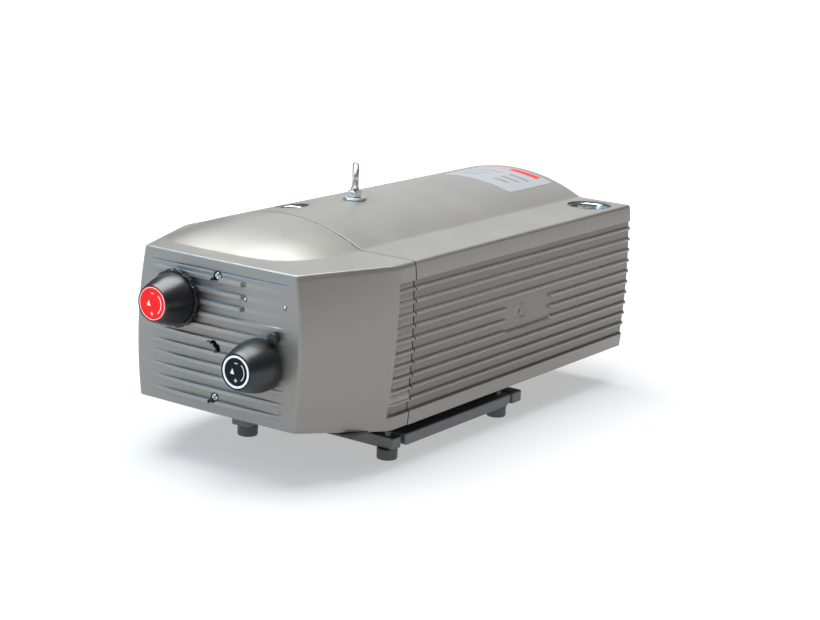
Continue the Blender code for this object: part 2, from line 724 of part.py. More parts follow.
def build_lock_ring():
    """Toothed ring on the hood round the vacuum valve's knob."""
    x, z = VALVES["vacuum"]
    outline = []
    per_tooth = 4
    for step in range(LOCK_RING_TEETH * per_tooth):
        angle = 2 * math.pi * step / (LOCK_RING_TEETH * per_tooth)
        radius = LOCK_RING_RADIUS if step % per_tooth < 2 else LOCK_RING_RADIUS - 0.0013
        outline.append((radius * math.cos(angle), radius * math.sin(angle)))
    rear = face_y(x + LOCK_RING_RADIUS) - TOUCH_GAP - 0.0014
    mesh = prism_mesh("vacuum_lock_ring", outline, rear - LOCK_RING_DEPTH, rear)
    lock = put("vacuum_lock_ring", mesh, "black_plastic", (x, 0, z))
    hole = rod_mesh("lock_ring_hole", LOCK_RING_INNER, -0.3, 0.0)
    boolean(lock, put_cutter("lock_ring_hole", hole, (x, 0, z)))


def build_stop_lug():
    """Round stop next to the pressure valve's knob."""
    knob_x, knob_z = VALVES["pressure"]
    reach = KNOB_BASE_RADIUS * KNOB_BULGE + STOP_LUG_GAP + STOP_LUG_RADIUS
    x = knob_x + reach * math.cos(STOP_LUG_ANGLE)
    z = knob_z + reach * math.sin(STOP_LUG_ANGLE)
    rear = face_y(x + STOP_LUG_RADIUS) - TOUCH_GAP - 0.0012
    profile = [
        (0, rear),
        (STOP_LUG_RADIUS, rear),
        (STOP_LUG_RADIUS, rear - STOP_LUG_HEIGHT + 0.001),
        (STOP_LUG_RADIUS - 0.001, rear - STOP_LUG_HEIGHT),
        (0, rear - STOP_LUG_HEIGHT),
    ]
    lathe("pressure_knob_stop", profile, "black_plastic", (x, 0, z), segments=SMALL_SEGMENTS)


# ---------------------------------------------------------------- ports and lifting eye
def build_ports():
    """Threaded sockets under the two openings in the cover's top."""
    flange = FILTER_RADIUS - 0.001
    low = SUCTION_SOCKET_LOW
    top = COVER_HEIGHT - 0.002
    socket = [
        (SUCTION_THREAD_RADIUS + 0.0015, top),
        (SUCTION_SOCKET_RADIUS, top),
        (SUCTION_SOCKET_RADIUS, low + 0.006),
        (flange, low + 0.006),
        (flange, low),
        (SUCTION_THREAD_RADIUS, low),
        (SUCTION_THREAD_RADIUS, top - 0.0015),
    ]
    lathe("suction_port_socket", socket, "bright_steel", (*SUCTION_PORT, 0), "Z", closed=True)
    low = EXHAUST_SOCKET_LOW
    top = EXHAUST_SOCKET_TOP
    socket = [
        (EXHAUST_THREAD_RADIUS + 0.0015, top),
        (EXHAUST_SOCKET_RADIUS, top),
        (EXHAUST_SOCKET_RADIUS, low),
        (EXHAUST_THREAD_RADIUS, low),
        (EXHAUST_THREAD_RADIUS, top - 0.0015),
    ]
    lathe("exhaust_port_socket", socket, "bright_steel", (*EXHAUST_PORT, 0), "Z", closed=True)


def build_lifting_eye():
    """Eyebolt with its washer and hexagon nut on the crown of the barrel."""
    crown = dome_height(EYE_PLACE[0])
    washer_low = crown + TOUCH_GAP
    nut_low = washer_low + WASHER_HEIGHT + TOUCH_GAP
    nut_top = nut_low + NUT_HEIGHT
    place = (*EYE_PLACE, 0)
    bore = EYE_STUD_RADIUS + PRESS_GAP
    washer_top = washer_low + WASHER_HEIGHT
    ring("eyebolt_washer", WASHER_RADIUS, bore, washer_low, washer_top, "zinc_steel", place, "Z")
    nut = rod_mesh("eyebolt_nut", NUT_FLATS / math.sqrt(3), nut_low, nut_top, 6, "Z")
    nut_part = put("eyebolt_nut", nut, "zinc_steel", place, (0, 0, EYE_TURN))
    hole = rod_mesh("nut_hole", bore, nut_low - 0.01, nut_top + 0.01, SMALL_SEGMENTS, "Z")
    boolean(nut_part, put_cutter("nut_hole", hole, place, (0, 0, EYE_TURN)))
    stud = rod_mesh("eyebolt", EYE_STUD_RADIUS, EYE_STUD_LOW, nut_top + 0.004, SMALL_SEGMENTS, "Z")
    eye = put("eyebolt", stud, "zinc_steel", place, (0, 0, EYE_TURN))
    centre = nut_top + TOUCH_GAP + EYE_WIRE_RADIUS + EYE_RING_RADIUS
    bm = bmesh.new()
    around, tube = 24, 8
    loops = []
    for step in range(around):
        angle = 2 * math.pi * step / around
        loop = []
        for spin in range(tube):
            turn = 2 * math.pi * spin / tube
            reach = EYE_RING_RADIUS + EYE_WIRE_RADIUS * math.cos(turn)
            across = EYE_WIRE_RADIUS * math.sin(turn)
            height = centre + reach * math.sin(angle)
            loop.append(bm.verts.new((across, reach * math.cos(angle), height)))
        loops.append(loop)
    for step in range(around):
        near, far = loops[step], loops[(step + 1) % around]
        for spin in range(tube):
            other = (spin + 1) % tube
            bm.faces.new((near[spin], near[other], far[other], far[spin]))
    bmesh.ops.recalc_face_normals(bm, faces=bm.faces)
    hoop = bpy.data.meshes.new("eye_hoop")
    bm.to_mesh(hoop)
    bm.free()
    boolean(eye, put_cutter("eye_hoop", hoop, place, (0, 0, EYE_TURN)), "UNION")


# ---------------------------------------------------------------- base
def bar_outline():
    """Cross bar seen from the front: high web with a low ear at each end."""
    right = [
        (BAR_HALF, BAR_LOW),
        (BAR_HALF, BAR_EAR_TOP),
        (BAR_WEB_HALF, BAR_EAR_TOP),
        (BAR_WEB_HALF, BAR_WEB_TOP),
    ]
    return right + mirrored(right)


def build_base():
    """Cross bars, side rails and rubber feet on their studs."""
    bars = {}
    for name, (start, end) in {"front": FRONT_BAR_Y, "rear": REAR_BAR_Y}.items():
        mesh = prism_mesh(f"base_{name}_bar", bar_outline(), start, end)
        bars[name] = put(f"base_{name}_bar", mesh, "cast_paint")
    rails = {}
    arm_x, arm_y = FEET["front_left"]
    low = (arm_x - ARM_HALF, arm_y - ARM_HALF, BAR_LOW)
    arm = box_mesh("front_arm", low, (arm_x + ARM_HALF, FRONT_BAR_Y[0] + 0.004, BAR_EAR_TOP))
    boolean(bars["front"], put_cutter("front_arm", arm), "UNION")
    rail = [
        (RAIL_INNER_X, BAR_LOW),
        (BAR_HALF, BAR_LOW),
        (BAR_HALF, BAR_EAR_TOP),
        (RAIL_STEP_X, BAR_EAR_TOP),
        (RAIL_STEP_X, BAR_WEB_TOP),
        (RAIL_INNER_X, BAR_WEB_TOP),
    ]
    for side, sign in (("right", 1), ("left", -1)):
        outline = [(sign * x, z) for x, z in rail]
        mesh = prism_mesh(f"base_rail_{side}", outline, *RAIL_Y)
        rails[side] = put(f"base_rail_{side}", mesh, "cast_paint")
    foot_top = BAR_LOW - TOUCH_GAP
    for place_name, (x, y) in FEET.items():
        end, side = place_name.split("_")
        carrier = bars["front"] if end == "front" else rails[side]
        drill_radius = FOOT_STUD_RADIUS + SCREW_CLEAR
        drill = rod_mesh(f"stud_hole_{place_name}", drill_radius, BAR_LOW - 0.01, 0.0, SMALL_SEGMENTS, "Z")
        boolean(carrier, put_cutter(f"stud_hole_{place_name}", drill, (x, y, 0)))
        foot = [
            (0, FOOT_STUD_TOP),
            (FOOT_STUD_RADIUS, FOOT_STUD_TOP),
            (FOOT_STUD_RADIUS, foot_top),
            (FOOT_RADIUS, foot_top),
            (FOOT_RADIUS, -FOOT_DROP + 0.001),
            (FOOT_RADIUS - 0.001, -FOOT_DROP),
            (0, -FOOT_DROP),
        ]
        lathe(f"foot_{place_name}", foot, "foot_rubber", (x, y, 0), "Z", SHAFT_SEGMENTS)


def build_tray():
    """Bottom plate that carries pump and motor, on top of the base frame."""
    front, rear = TRAY_Y
    half = [(TRAY_HALF, rear), (TRAY_HALF, -0.012), (TRAY_FRONT_HALF, front)]
    outline = half + [(-x, y) for x, y in reversed(half)]
    put("bottom_tray", prism_mesh("bottom_tray", outline, *TRAY_Z, "Z"), "sheet_steel")


# ---------------------------------------------------------------- pump
ECCENTRICITY = BORE_RADIUS - ROTOR_RADIUS - TANGENT_GAP
BORE_Z = SHAFT_Z - ECCENTRICITY
SHAFT_PLACE = (SHAFT_X, 0, SHAFT_Z)


def build_cylinder():
    """Pump cylinder with its eccentric bore, a saddle towards the tray and two side ports."""
    radius = CYLINDER_RADIUS
    mesh = rod_mesh("pump_cylinder", radius, *CYLINDER_Y)
    cylinder = put("pump_cylinder", mesh, "cast_iron", (SHAFT_X, 0, BORE_Z))
    half = radius * 0.8
    saddle_low = (SHAFT_X - half, CYLINDER_Y[0] + 0.004, TRAY_Z[1] + TOUCH_GAP)
    saddle = box_mesh("saddle", saddle_low, (SHAFT_X + half, CYLINDER_Y[1] - 0.004, BORE_Z - radius * 0.3))
    boolean(cylinder, put_cutter("saddle", saddle), "UNION")
    start = CYLINDER_Y[0] - 0.01
    bore = rod_mesh("cylinder_bore", BORE_RADIUS, start, CYLINDER_Y[1] + 0.01, ROTOR_SEGMENTS)
    boolean(cylinder, put_cutter("cylinder_bore", bore, (SHAFT_X, 0, BORE_Z)))
    for name, tilt in (("suction_drill", 62), ("pressure_drill", -62)):
        drill = rod_mesh(name, PORT_DRILL_RADIUS, BORE_RADIUS * 0.8, radius * 1.2, SMALL_SEGMENTS, "Z")
        turn = (0, math.radians(tilt), 0)
        middle = sum(CYLINDER_Y) / 2
        boolean(cylinder, put_cutter(name, drill, (SHAFT_X, middle, BORE_Z), turn))


def build_end_shields():
    """Square end shields, their bearings and the covers over them."""
    front_end = CYLINDER_Y[0] - TOUCH_GAP
    rear_start = CYLINDER_Y[1] + TOUCH_GAP
    spans = {
        "front": (front_end - SHIELD_THICKNESS, front_end),
        "rear": (rear_start, rear_start + SHIELD_THICKNESS),
    }
    for name, (start, end) in spans.items():
        low = (SHAFT_X - SHIELD_HALF, start, BORE_Z - SHIELD_HALF)
        high = (SHAFT_X + SHIELD_HALF, end, SHAFT_Z + SHIELD_HALF)
        shield = put(f"pump_shield_{name}", box_mesh(f"pump_shield_{name}", low, high), "cast_iron")
        drill_start = start + SHIELD_FLOOR if name == "front" else start - 0.01
        hole = rod_mesh(f"shield_bore_{name}", BEARING_RADIUS + PRESS_GAP, drill_start, end + 0.01)
        boolean(shield, put_cutter(f"shield_bore_{name}", hole, SHAFT_PLACE))
        bore = SHAFT_RADIUS + PRESS_GAP
        seat = max(start, drill_start) + TOUCH_GAP
        bearing = f"pump_bearing_{name}"
        ring(bearing, BEARING_RADIUS, bore, seat, end - TOUCH_GAP, "bright_steel", SHAFT_PLACE)
        if name == "front":
            radius = SCREW_SHANK_RADIUS + SCREW_CLEAR
            for index, height in enumerate(SCREW_Z):
                thread = rod_mesh(f"thread_{index}", radius, start - 0.01, end + 0.01, SMALL_SEGMENTS)
                boolean(shield, put_cutter(f"thread_{index}", thread, (0, 0, height)))
    start = spans["rear"][1] + TOUCH_GAP
    ring(
        "shaft_seal", BEARING_RADIUS + SEAL_FLANGE, SHAFT_RADIUS + RUN_GAP, start, start + SEAL_DEPTH,
        "foot_rubber", SHAFT_PLACE,
    )


def build_pump_rotor():
    """Slotted rotor with its vanes fully in, on the one shaft that runs through pump and motor."""
    start = CYLINDER_Y[0] + ROTOR_END_GAP
    end = CYLINDER_Y[1] - ROTOR_END_GAP
    mesh = rod_mesh("pump_rotor", ROTOR_RADIUS, start, end, ROTOR_SEGMENTS)
    rotor = put("pump_rotor", mesh, "cast_iron", SHAFT_PLACE)
    bore = rod_mesh("rotor_bore", SHAFT_RADIUS + PRESS_GAP, start - 0.01, end + 0.01, SHAFT_SEGMENTS)
    boolean(rotor, put_cutter("rotor_bore", bore, SHAFT_PLACE))
    floor = ROTOR_RADIUS - VANE_SLOT_DEPTH
    half_slot = VANE_THICKNESS / 2 + VANE_SLOT_GAP
    tip = ROTOR_RADIUS * math.cos(math.pi / ROTOR_SEGMENTS) - TOUCH_GAP
    for index in range(VANE_COUNT):
        turn = (0, 2 * math.pi * (index + 0.5) / VANE_COUNT, 0)
        slot_high = (half_slot, end + 0.01, ROTOR_RADIUS + 0.01)
        slot = box_mesh(f"vane_slot_{index}", (-half_slot, start - 0.01, floor), slot_high)
        boolean(rotor, put_cutter(f"vane_slot_{index}", slot, SHAFT_PLACE, turn))
        low = (-VANE_THICKNESS / 2, start, tip - VANE_HEIGHT)
        vane = box_mesh(f"vane_{index + 1}", low, (VANE_THICKNESS / 2, end, tip))
        put(f"vane_{index + 1}", vane, "carbon", SHAFT_PLACE, turn)
    part_rod("rotor_shaft", SHAFT_RADIUS, *ROTOR_SHAFT_Y, "bright_steel", SHAFT_PLACE)


# ---------------------------------------------------------------- motor and fan
def fin_outline():
    """Motor housing seen along the shaft, with a square fin at each pitch."""
    outline = []
    for step in range(MOTOR_FINS * 4):
        angle = 2 * math.pi * step / (MOTOR_FINS * 4)
        radius = MOTOR_RADIUS if step % 4 < 2 else MOTOR_RADIUS - MOTOR_FIN_DEPTH + 0.004
        outline.append((radius * math.cos(angle), radius * math.sin(angle)))
    return outline


def build_motor():
    """Motor: finned housing, stator with windings, rotor on its shaft, shields and bearings."""
    mesh = prism_mesh("motor_housing", fin_outline(), *MOTOR_Y)
    housing = put("motor_housing", mesh, "raw_aluminium", SHAFT_PLACE)
    rear_start = MOTOR_Y[1] + TOUCH_GAP
    bore = rod_mesh("motor_bore", MOTOR_BORE, MOTOR_Y[0] + MOTOR_SHIELD, MOTOR_Y[1] + 0.01)
    boolean(housing, put_cutter("motor_bore", bore, SHAFT_PLACE))
    bearing_seat = rod_mesh("motor_seat", BEARING_RADIUS + PRESS_GAP, MOTOR_Y[0] - 0.01, MOTOR_Y[0] + 0.02)
    boolean(housing, put_cutter("motor_seat", bearing_seat, SHAFT_PLACE))
    core = MOTOR_BORE - PRESS_GAP
    front, rear = STATOR_Y
    inner, outer = WINDING_RADII
    stator = [
        (STATOR_BORE, rear),
        (inner, rear),
        (inner, rear + WINDING_DEPTH),
        (outer, rear + WINDING_DEPTH),
        (outer, rear),
        (core, rear),
        (core, front),
        (outer, front),
        (outer, front - WINDING_DEPTH),
        (inner, front - WINDING_DEPTH),
        (inner, front),
        (STATOR_BORE, front),
    ]
    lathe("motor_stator", stator, "copper_winding", SHAFT_PLACE, closed=True)
    bore = SHAFT_RADIUS + PRESS_GAP
    rotor_radius = STATOR_BORE - AIR_GAP
    ring("motor_rotor", rotor_radius, bore, *STATOR_Y, "sheet_steel", SHAFT_PLACE)
    seat = BEARING_RADIUS + PRESS_GAP
    rear_end = rear_start + MOTOR_SHIELD
    spans = {"front": (MOTOR_Y[0], MOTOR_Y[0] + MOTOR_SHIELD), "rear": (rear_start, rear_end)}
    for name, (start, end) in spans.items():
        low = start + TOUCH_GAP
        high = end - TOUCH_GAP
        ring(f"motor_bearing_{name}", BEARING_RADIUS, bore, low, high, "bright_steel", SHAFT_PLACE)
    ring("motor_shield_rear", MOTOR_RADIUS, seat, *spans["rear"], "raw_aluminium", SHAFT_PLACE)


def build_fan():
    """Cooling fan on the motor's rear shaft end, and the shroud round it."""
    outline = []
    hub = SHAFT_RADIUS + 0.008
    for blade in range(FAN_BLADES):
        middle = 2 * math.pi * blade / FAN_BLADES
        pitch = 2 * math.pi / FAN_BLADES
        corners = (
            (-0.20, hub, 0),
            (-0.05, FAN_RADIUS, FAN_LEAN),
            (0.0, FAN_RADIUS, FAN_LEAN),
            (0.05, hub, 0),
        )
        for share, radius, shift in corners:
            angle = middle + pitch * share + shift
            outline.append((radius * math.cos(angle), radius * math.sin(angle)))
    fan = put("cooling_fan", prism_mesh("cooling_fan", outline, *FAN_Y), "black_plastic", SHAFT_PLACE)
    bore = rod_mesh("fan_bore", SHAFT_RADIUS + PRESS_GAP, FAN_Y[0] - 0.01, FAN_Y[1] + 0.01, SHAFT_SEGMENTS)
    boolean(fan, put_cutter("fan_bore", bore, SHAFT_PLACE))
    start, end = SHROUD_Y
    start = max(start, MOTOR_Y[1] + 2 * TOUCH_GAP + MOTOR_SHIELD)
    shroud = [
        (SHROUD_RADIUS - SHROUD_WALL, end - SHROUD_WALL),
        (SHROUD_EYE, end - SHROUD_WALL),
        (SHROUD_EYE, end),
        (SHROUD_RADIUS, end),
        (SHROUD_RADIUS, start),
        (SHROUD_RADIUS - SHROUD_WALL, start),
    ]
    lathe("fan_shroud", shroud, "sheet_steel", SHAFT_PLACE, closed=True)


def build_terminal_box():
    """Terminal box beside the motor with its cable gland."""
    (x0, x1), (y0, y1), (z0, z1) = TERMINAL_BOX
    housing = put("terminal_box", box_mesh("terminal_box", (x0, y0, z0), (x1, y1, z1)), "raw_aluminium")
    wall = TERMINAL_WALL
    low = (x0 + wall, y0 + wall, z0 + wall)
    hollow = box_mesh("terminal_hollow", low, (x1 - wall, y1 - wall, z1 - wall))
    boolean(housing, put_cutter("terminal_hollow", hollow))
    middle = ((x0 + x1) / 2, 0, (z0 + z1) / 2)
    inlet = rod_mesh("gland_hole", GLAND_BORE, y1 - 2 * wall, y1 + wall, 12)
    boolean(housing, put_cutter("gland_hole", inlet, middle))
    start = y1 + TOUCH_GAP
    ring(
        "cable_gland", GLAND_RADIUS, GLAND_BORE, start, start + GLAND_LENGTH,
        "black_plastic", middle, segments=12,
    )


# ---------------------------------------------------------------- filters and pipes
def build_filter():
    """Suction filter under the rear port: cup and cartridge."""
    low, top = FILTER_Z
    wall = FILTER_WALL
    cup = [
        (0, low + wall),
        (FILTER_RADIUS - wall, low + wall),
        (FILTER_RADIUS - wall, top),
        (FILTER_RADIUS, top),
        (FILTER_RADIUS, low),
        (0, low),
    ]
    place = (*SUCTION_PORT, 0)
    lathe("filter_housing", cup, "raw_aluminium", place, "Z")
    start = low + wall + TOUCH_GAP
    end = SUCTION_SOCKET_LOW - TOUCH_GAP
    ring("filter_cartridge", CARTRIDGE_RADII[1], CARTRIDGE_RADII[0], start, end, "filter_felt", place, "Z")


def build_silencer():
    """Exhaust silencer beside the pump: a can with its outlet to the rear."""
    x, z = SILENCER_PLACE
    start, end = SILENCER_Y
    wall = FILTER_WALL
    can = [
        (0, start + wall),
        (SILENCER_RADIUS - wall, start + wall),
        (SILENCER_RADIUS - wall, end - wall),
        (SILENCER_CORE, end - wall),
        (SILENCER_CORE, end),
        (SILENCER_RADIUS, end),
        (SILENCER_RADIUS, start),
        (0, start),
    ]
    lathe("silencer_can", can, "raw_aluminium", (x, 0, z))


# ---------------------------------------------------------------- the whole pump
def build():
    """Make every part."""
    build_main_cover()
    build_front_hood()
    build_hood_screws()
    for name, (x, z) in VALVES.items():
        build_valve(name, x, z)
    build_lock_ring()
    build_stop_lug()
    build_ports()
    build_lifting_eye()
    build_base()
    build_tray()
    build_cylinder()
    build_end_shields()
    build_pump_rotor()
    build_motor()
    build_fan()
    build_terminal_box()
    build_filter()
    build_silencer()


build()
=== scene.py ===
"""Looks of the rotary vane vacuum pump: cast covers, knobs, ports, base and studio.

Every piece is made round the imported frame. Lengths are metres in the row's frame: +X to the right
seen from the knobs, +Y to the rear, +Z up, floor at z = 0.
"""
import math

import bmesh
import bpy
import numpy as np
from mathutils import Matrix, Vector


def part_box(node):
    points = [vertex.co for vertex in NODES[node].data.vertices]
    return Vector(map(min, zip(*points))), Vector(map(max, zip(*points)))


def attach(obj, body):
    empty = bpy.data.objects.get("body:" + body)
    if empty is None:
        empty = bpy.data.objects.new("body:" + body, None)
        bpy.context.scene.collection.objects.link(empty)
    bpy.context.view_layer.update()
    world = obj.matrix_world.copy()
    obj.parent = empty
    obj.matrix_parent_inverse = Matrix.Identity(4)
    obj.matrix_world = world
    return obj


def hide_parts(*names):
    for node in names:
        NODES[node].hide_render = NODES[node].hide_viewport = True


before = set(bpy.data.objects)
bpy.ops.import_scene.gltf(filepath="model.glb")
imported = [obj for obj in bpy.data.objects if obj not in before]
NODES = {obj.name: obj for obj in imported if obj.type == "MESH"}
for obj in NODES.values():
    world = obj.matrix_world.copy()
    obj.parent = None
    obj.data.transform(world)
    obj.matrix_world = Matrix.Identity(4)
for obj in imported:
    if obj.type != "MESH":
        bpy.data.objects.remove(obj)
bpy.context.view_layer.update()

bl_info = {
    "name": "Rotary Vane Vacuum Pump",
    "version": (1, 0, 0),
    "blender": (4, 5, 0),
    "location": "3D View > Sidebar > Pump",
    "description": "Fine surfaces, finishes and studio for a rotary vane vacuum pump",
    "category": "Add Mesh",
}

# ---------------------------------------------------------------- places taken from the frame
COVER_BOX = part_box("main_cover")
HOOD_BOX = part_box("front_hood")
PARTING_GAP = COVER_BOX[0].y - HOOD_BOX[1].y
PARTING_Y = (COVER_BOX[0].y + HOOD_BOX[1].y) / 2
RIM_Z = COVER_BOX[0].z
REAR_Y = COVER_BOX[1].y
CROWN_Z = COVER_BOX[1].z

# ---------------------------------------------------------------- housing
COVER_HEIGHT = 0.200      # shoulders above the rim
HALF_TOP = 0.161
HALF_BOTTOM = 0.160
COVER_SWELL = 0.0055
WALL = 0.0035
SHOULDER_Z = RIM_Z + COVER_HEIGHT
EDGE_ROUND = 0.004
REAR_ROUND = 0.0050       # corner at the rear, over the ribs
REAR_ROUND_FLOOR = 0.0015
LIP_ROUND = 0.0004        # edges along the open joint

RIB_COUNT = 10
BAND_LOW = 0.0172
BAND_HIGH = 0.1780

DOME_X = -0.033
DOME_HALF = 0.114
DOME_RISE = CROWN_Z - SHOULDER_Z
DOME_BLEND = 0.0010
DOME_RADIUS = (DOME_HALF**2 + DOME_RISE**2) / (2 * DOME_RISE)

PAD_Y = (0.204, 0.313)    # from the parting plane
PAD_Z = (0.0772, 0.1143)
PLUG_AT = (0.242, 0.097)

HOOD_DEPTH = 0.164
HOOD_SHOULDER = 0.036
FRONT_HALF_TOP = 0.1125
FRONT_HALF_BOTTOM = 0.1135
FRONT_SWELL = 0.0095
FLOOR_BOW = 0.0012        # front face between its ribs
CREST_BOW = 0.0058        # tips of the front ribs
RIM_LIFT = 0.0165
LENS_HALF = 0.114
LENS_DEPTH = 0.132
LENS_POWER = 3.6

FRONT_RIBS = 11
FRONT_RIB_TOP = 0.1775
FRONT_RIB_PITCH = 0.0146
FRONT_RIB_HALF = 0.101    # where the front ribs run out
PLATE_FIELD_X = 0.0370    # the upper ribs stop at the plain field
PLATE_RIBS = 3
FRONT_GROOVE_Z = 0.1862

KNOBS = {"vacuum": (-0.056, 0.147), "pressure": (0.070, 0.0905)}
SCREWS_Z = (0.1815, 0.0365)


def rib_heights():
    """Heights of the side ribs above the rim."""
    sizes = bpy.context.scene.pump_ribs
    return sizes.first_height + sizes.pitch * np.arange(RIB_COUNT)


# ---------------------------------------------------------------- arrays to meshes
def grid_faces(rows, columns, wrap_rows=False, wrap_columns=False):
    """Corner numbers of all quads of a grid, first along a row, then row by row."""
    row = np.arange(rows if wrap_rows else rows - 1)
    column = np.arange(columns if wrap_columns else columns - 1)
    row, column = np.meshgrid(row, column, indexing="ij")
    below = ((row + 1) % rows) * columns
    right = (column + 1) % columns
    here = row * columns
    corners = [here + column, below + column, below + right, here + right]
    return np.stack(corners, axis=-1).reshape(-1, 4)


def grid_shape(points, wrap_rows=False, wrap_columns=False):
    """A surface from an array of rows x columns x 3 points."""
    rows, columns = points.shape[:2]
    return points.reshape(-1, 3), grid_faces(rows, columns, wrap_rows, wrap_columns)


def shell_shape(outer, inner):
    """Closed wall between two open grids of one size: both skins and the strips along their edges."""
    rows, columns = outer.shape[:2]
    count = rows * columns
    skin = grid_faces(rows, columns)
    back = skin[:, ::-1] + count
    number = np.arange(count).reshape(rows, columns)
    edges = [number[0, :], number[:, -1], number[-1, ::-1], number[::-1, 0]]
    strips = [
        np.stack([edge[1:], edge[:-1], edge[:-1] + count, edge[1:] + count], axis=-1)[:, ::-1]
        for edge in edges
    ]
    points = np.concatenate([outer.reshape(-1, 3), inner.reshape(-1, 3)])
    return points, np.concatenate([skin, back, *strips])


def make_mesh(name, shapes, relief=None):
    """One mesh from several arrays of points and quads."""
    starts = np.cumsum([0] + [len(points) for points, faces in shapes])
    points = np.concatenate([points for points, faces in shapes])
    faces = np.concatenate([faces + start for (_, faces), start in zip(shapes, starts)])
    mesh = bpy.data.meshes.new(name)
    mesh.vertices.add(len(points))
    mesh.vertices.foreach_set("co", points.astype(np.float32).ravel())
    mesh.loops.add(faces.size)
    mesh.loops.foreach_set("vertex_index", faces.astype(np.int32).ravel())
    mesh.polygons.add(len(faces))
    mesh.polygons.foreach_set("loop_start", np.arange(0, faces.size, 4, dtype=np.int32))
    mesh.update(calc_edges=True)
    # Each point may carry a value of painted light and shade, read by the cast paint.
    if relief is not None:
        layer = mesh.attributes.new("relief", "FLOAT", "POINT")
        layer.data.foreach_set("value", relief.astype(np.float32).ravel())
    return mesh


def weld(mesh, outward=True):
    """Merge doubled points, drop faces without area, and turn all faces outwards."""
    bm = bmesh.new()
    bm.from_mesh(mesh)
    bmesh.ops.remove_doubles(bm, verts=bm.verts, dist=2e-6)
    bmesh.ops.dissolve_degenerate(bm, edges=bm.edges, dist=1e-7)
    if outward:
        bmesh.ops.recalc_face_normals(bm, faces=bm.faces)
    bm.to_mesh(mesh)
    bm.free()


def make_piece(name, shapes, finish, body="frame", replaces=(), angle=35.0, relief=None):
    """A finished piece: welded mesh, material, smooth shading, its body, slot and CAD nodes."""
    mesh = make_mesh(name, shapes, relief)
    weld(mesh)
    return place_mesh(name, mesh, finish, body, replaces, angle)


def place_mesh(name, mesh, finish, body="frame", replaces=(), angle=35.0):
    """Link a mesh as a piece that rides on a body."""
    piece = bpy.data.objects.new(name, mesh)
    bpy.context.scene.collection.objects.link(piece)
    mesh.materials.clear()
    mesh.materials.append(material(finish))
    mesh.shade_smooth()
    mesh.set_sharp_from_angle(angle=math.radians(angle))
    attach(piece, body)
    if replaces:
        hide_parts(*replaces)
    return piece


def cut(mesh, tools):
    """The mesh with closed tools cut out of it by one exact Boolean."""
    target = bpy.data.objects.new("target", mesh)
    count = sum(len(points) for points, _ in tools)
    # The cutter carries -1 for the cast paint, so the walls that the cut leaves are painted near black:
    # painted shade in the holes.
    tool = bpy.data.objects.new("tool", make_mesh("tool", tools, np.full(count, -1.0)))
    weld(tool.data)
    for helper in (target, tool):
        bpy.context.scene.collection.objects.link(helper)
    boolean = target.modifiers.new("cut", "BOOLEAN")
    boolean.operation = "DIFFERENCE"
    boolean.object = tool
    boolean.solver = "EXACT"
    graph = bpy.context.evaluated_depsgraph_get()
    result = bpy.data.meshes.new_from_object(target.evaluated_get(graph))
    result.name = mesh.name
    for helper in (target, tool):
        bpy.data.objects.remove(helper, do_unlink=True)
    return result


# ---------------------------------------------------------------- curves and basic surfaces
def ease(value, low, high):
    """Smooth step: 0 below low, 1 above high, cubic between."""
    share = np.clip((value - low) / (high - low), 0.0, 1.0)
    return share * share * (3 - 2 * share)


def soften(corners, radius, steps=5, closed=False):
    """A polyline with each corner replaced by a quadratic curve that starts a radius before it."""
    corners = np.asarray(corners, float)
    radius = np.broadcast_to(radius, (len(corners),))
    share = np.linspace(0, 1, steps)[:, None]
    line = []
    for index, corner in enumerate(corners):
        if not closed and index in (0, len(corners) - 1):
            line.append(corner[None])
            continue
        ahead = corners[(index + 1) % len(corners)] - corner
        behind = corners[index - 1] - corner
        start = corner + behind * min(radius[index] / np.linalg.norm(behind), 0.48)
        end = corner + ahead * min(radius[index] / np.linalg.norm(ahead), 0.48)
        bend = (1 - share) ** 2 * start + 2 * share * (1 - share) * corner + share**2 * end
        line.append(bend)
    return np.concatenate(line)


def turned(profile, centre, axis="Y", steps=64, closed=False):
    """A profile of (radius, height) points carried round an axis through the centre."""
    angle = np.linspace(0, 2 * math.pi, steps, endpoint=False)
    radius = profile[:, 0][:, None]
    height = np.broadcast_to(profile[:, 1][:, None], (len(profile), steps))
    across = radius * np.cos(angle)
    along = radius * np.sin(angle)
    order = {"Y": (across, height, along), "Z": (across, along, height), "X": (height, across, along)}
    points = np.stack(order[axis], axis=-1) + np.asarray(centre, float)
    return grid_shape(points, wrap_rows=closed, wrap_columns=True)


def rounded_box(low, high, radius, steps=4):
    """A box with round edges: a ball cut into eighths that are moved out to the corners."""
    low, high = np.asarray(low, float), np.asarray(high, float)
    radius = min(radius, (high - low).min() / 2 * 0.98)
    middle, half = (low + high) / 2, (high - low) / 2 - radius
    quarter = np.linspace(0, math.pi / 2, steps)
    turn = np.concatenate([quarter + side * math.pi / 2 for side in range(4)])
    sign_x = np.repeat([1, -1, -1, 1], steps)
    sign_y = np.repeat([1, 1, -1, -1], steps)
    tilt = np.concatenate([quarter - math.pi / 2, quarter])
    sign_z = np.repeat([-1, 1], steps)
    x = half[0] * sign_x + radius * np.cos(tilt)[:, None] * np.cos(turn)
    y = half[1] * sign_y + radius * np.cos(tilt)[:, None] * np.sin(turn)
    z = (half[2] * sign_z + radius * np.sin(tilt))[:, None] + 0 * x
    rings = np.stack([x, y, z], axis=-1)
    pole = np.zeros((1, len(turn), 3))
    bottom, top = pole.copy(), pole.copy()
    bottom[..., 2] = -(half[2] + radius)
    top[..., 2] = half[2] + radius
    points = np.concatenate([bottom, rings, top]) + middle
    return grid_shape(points, wrap_columns=True)


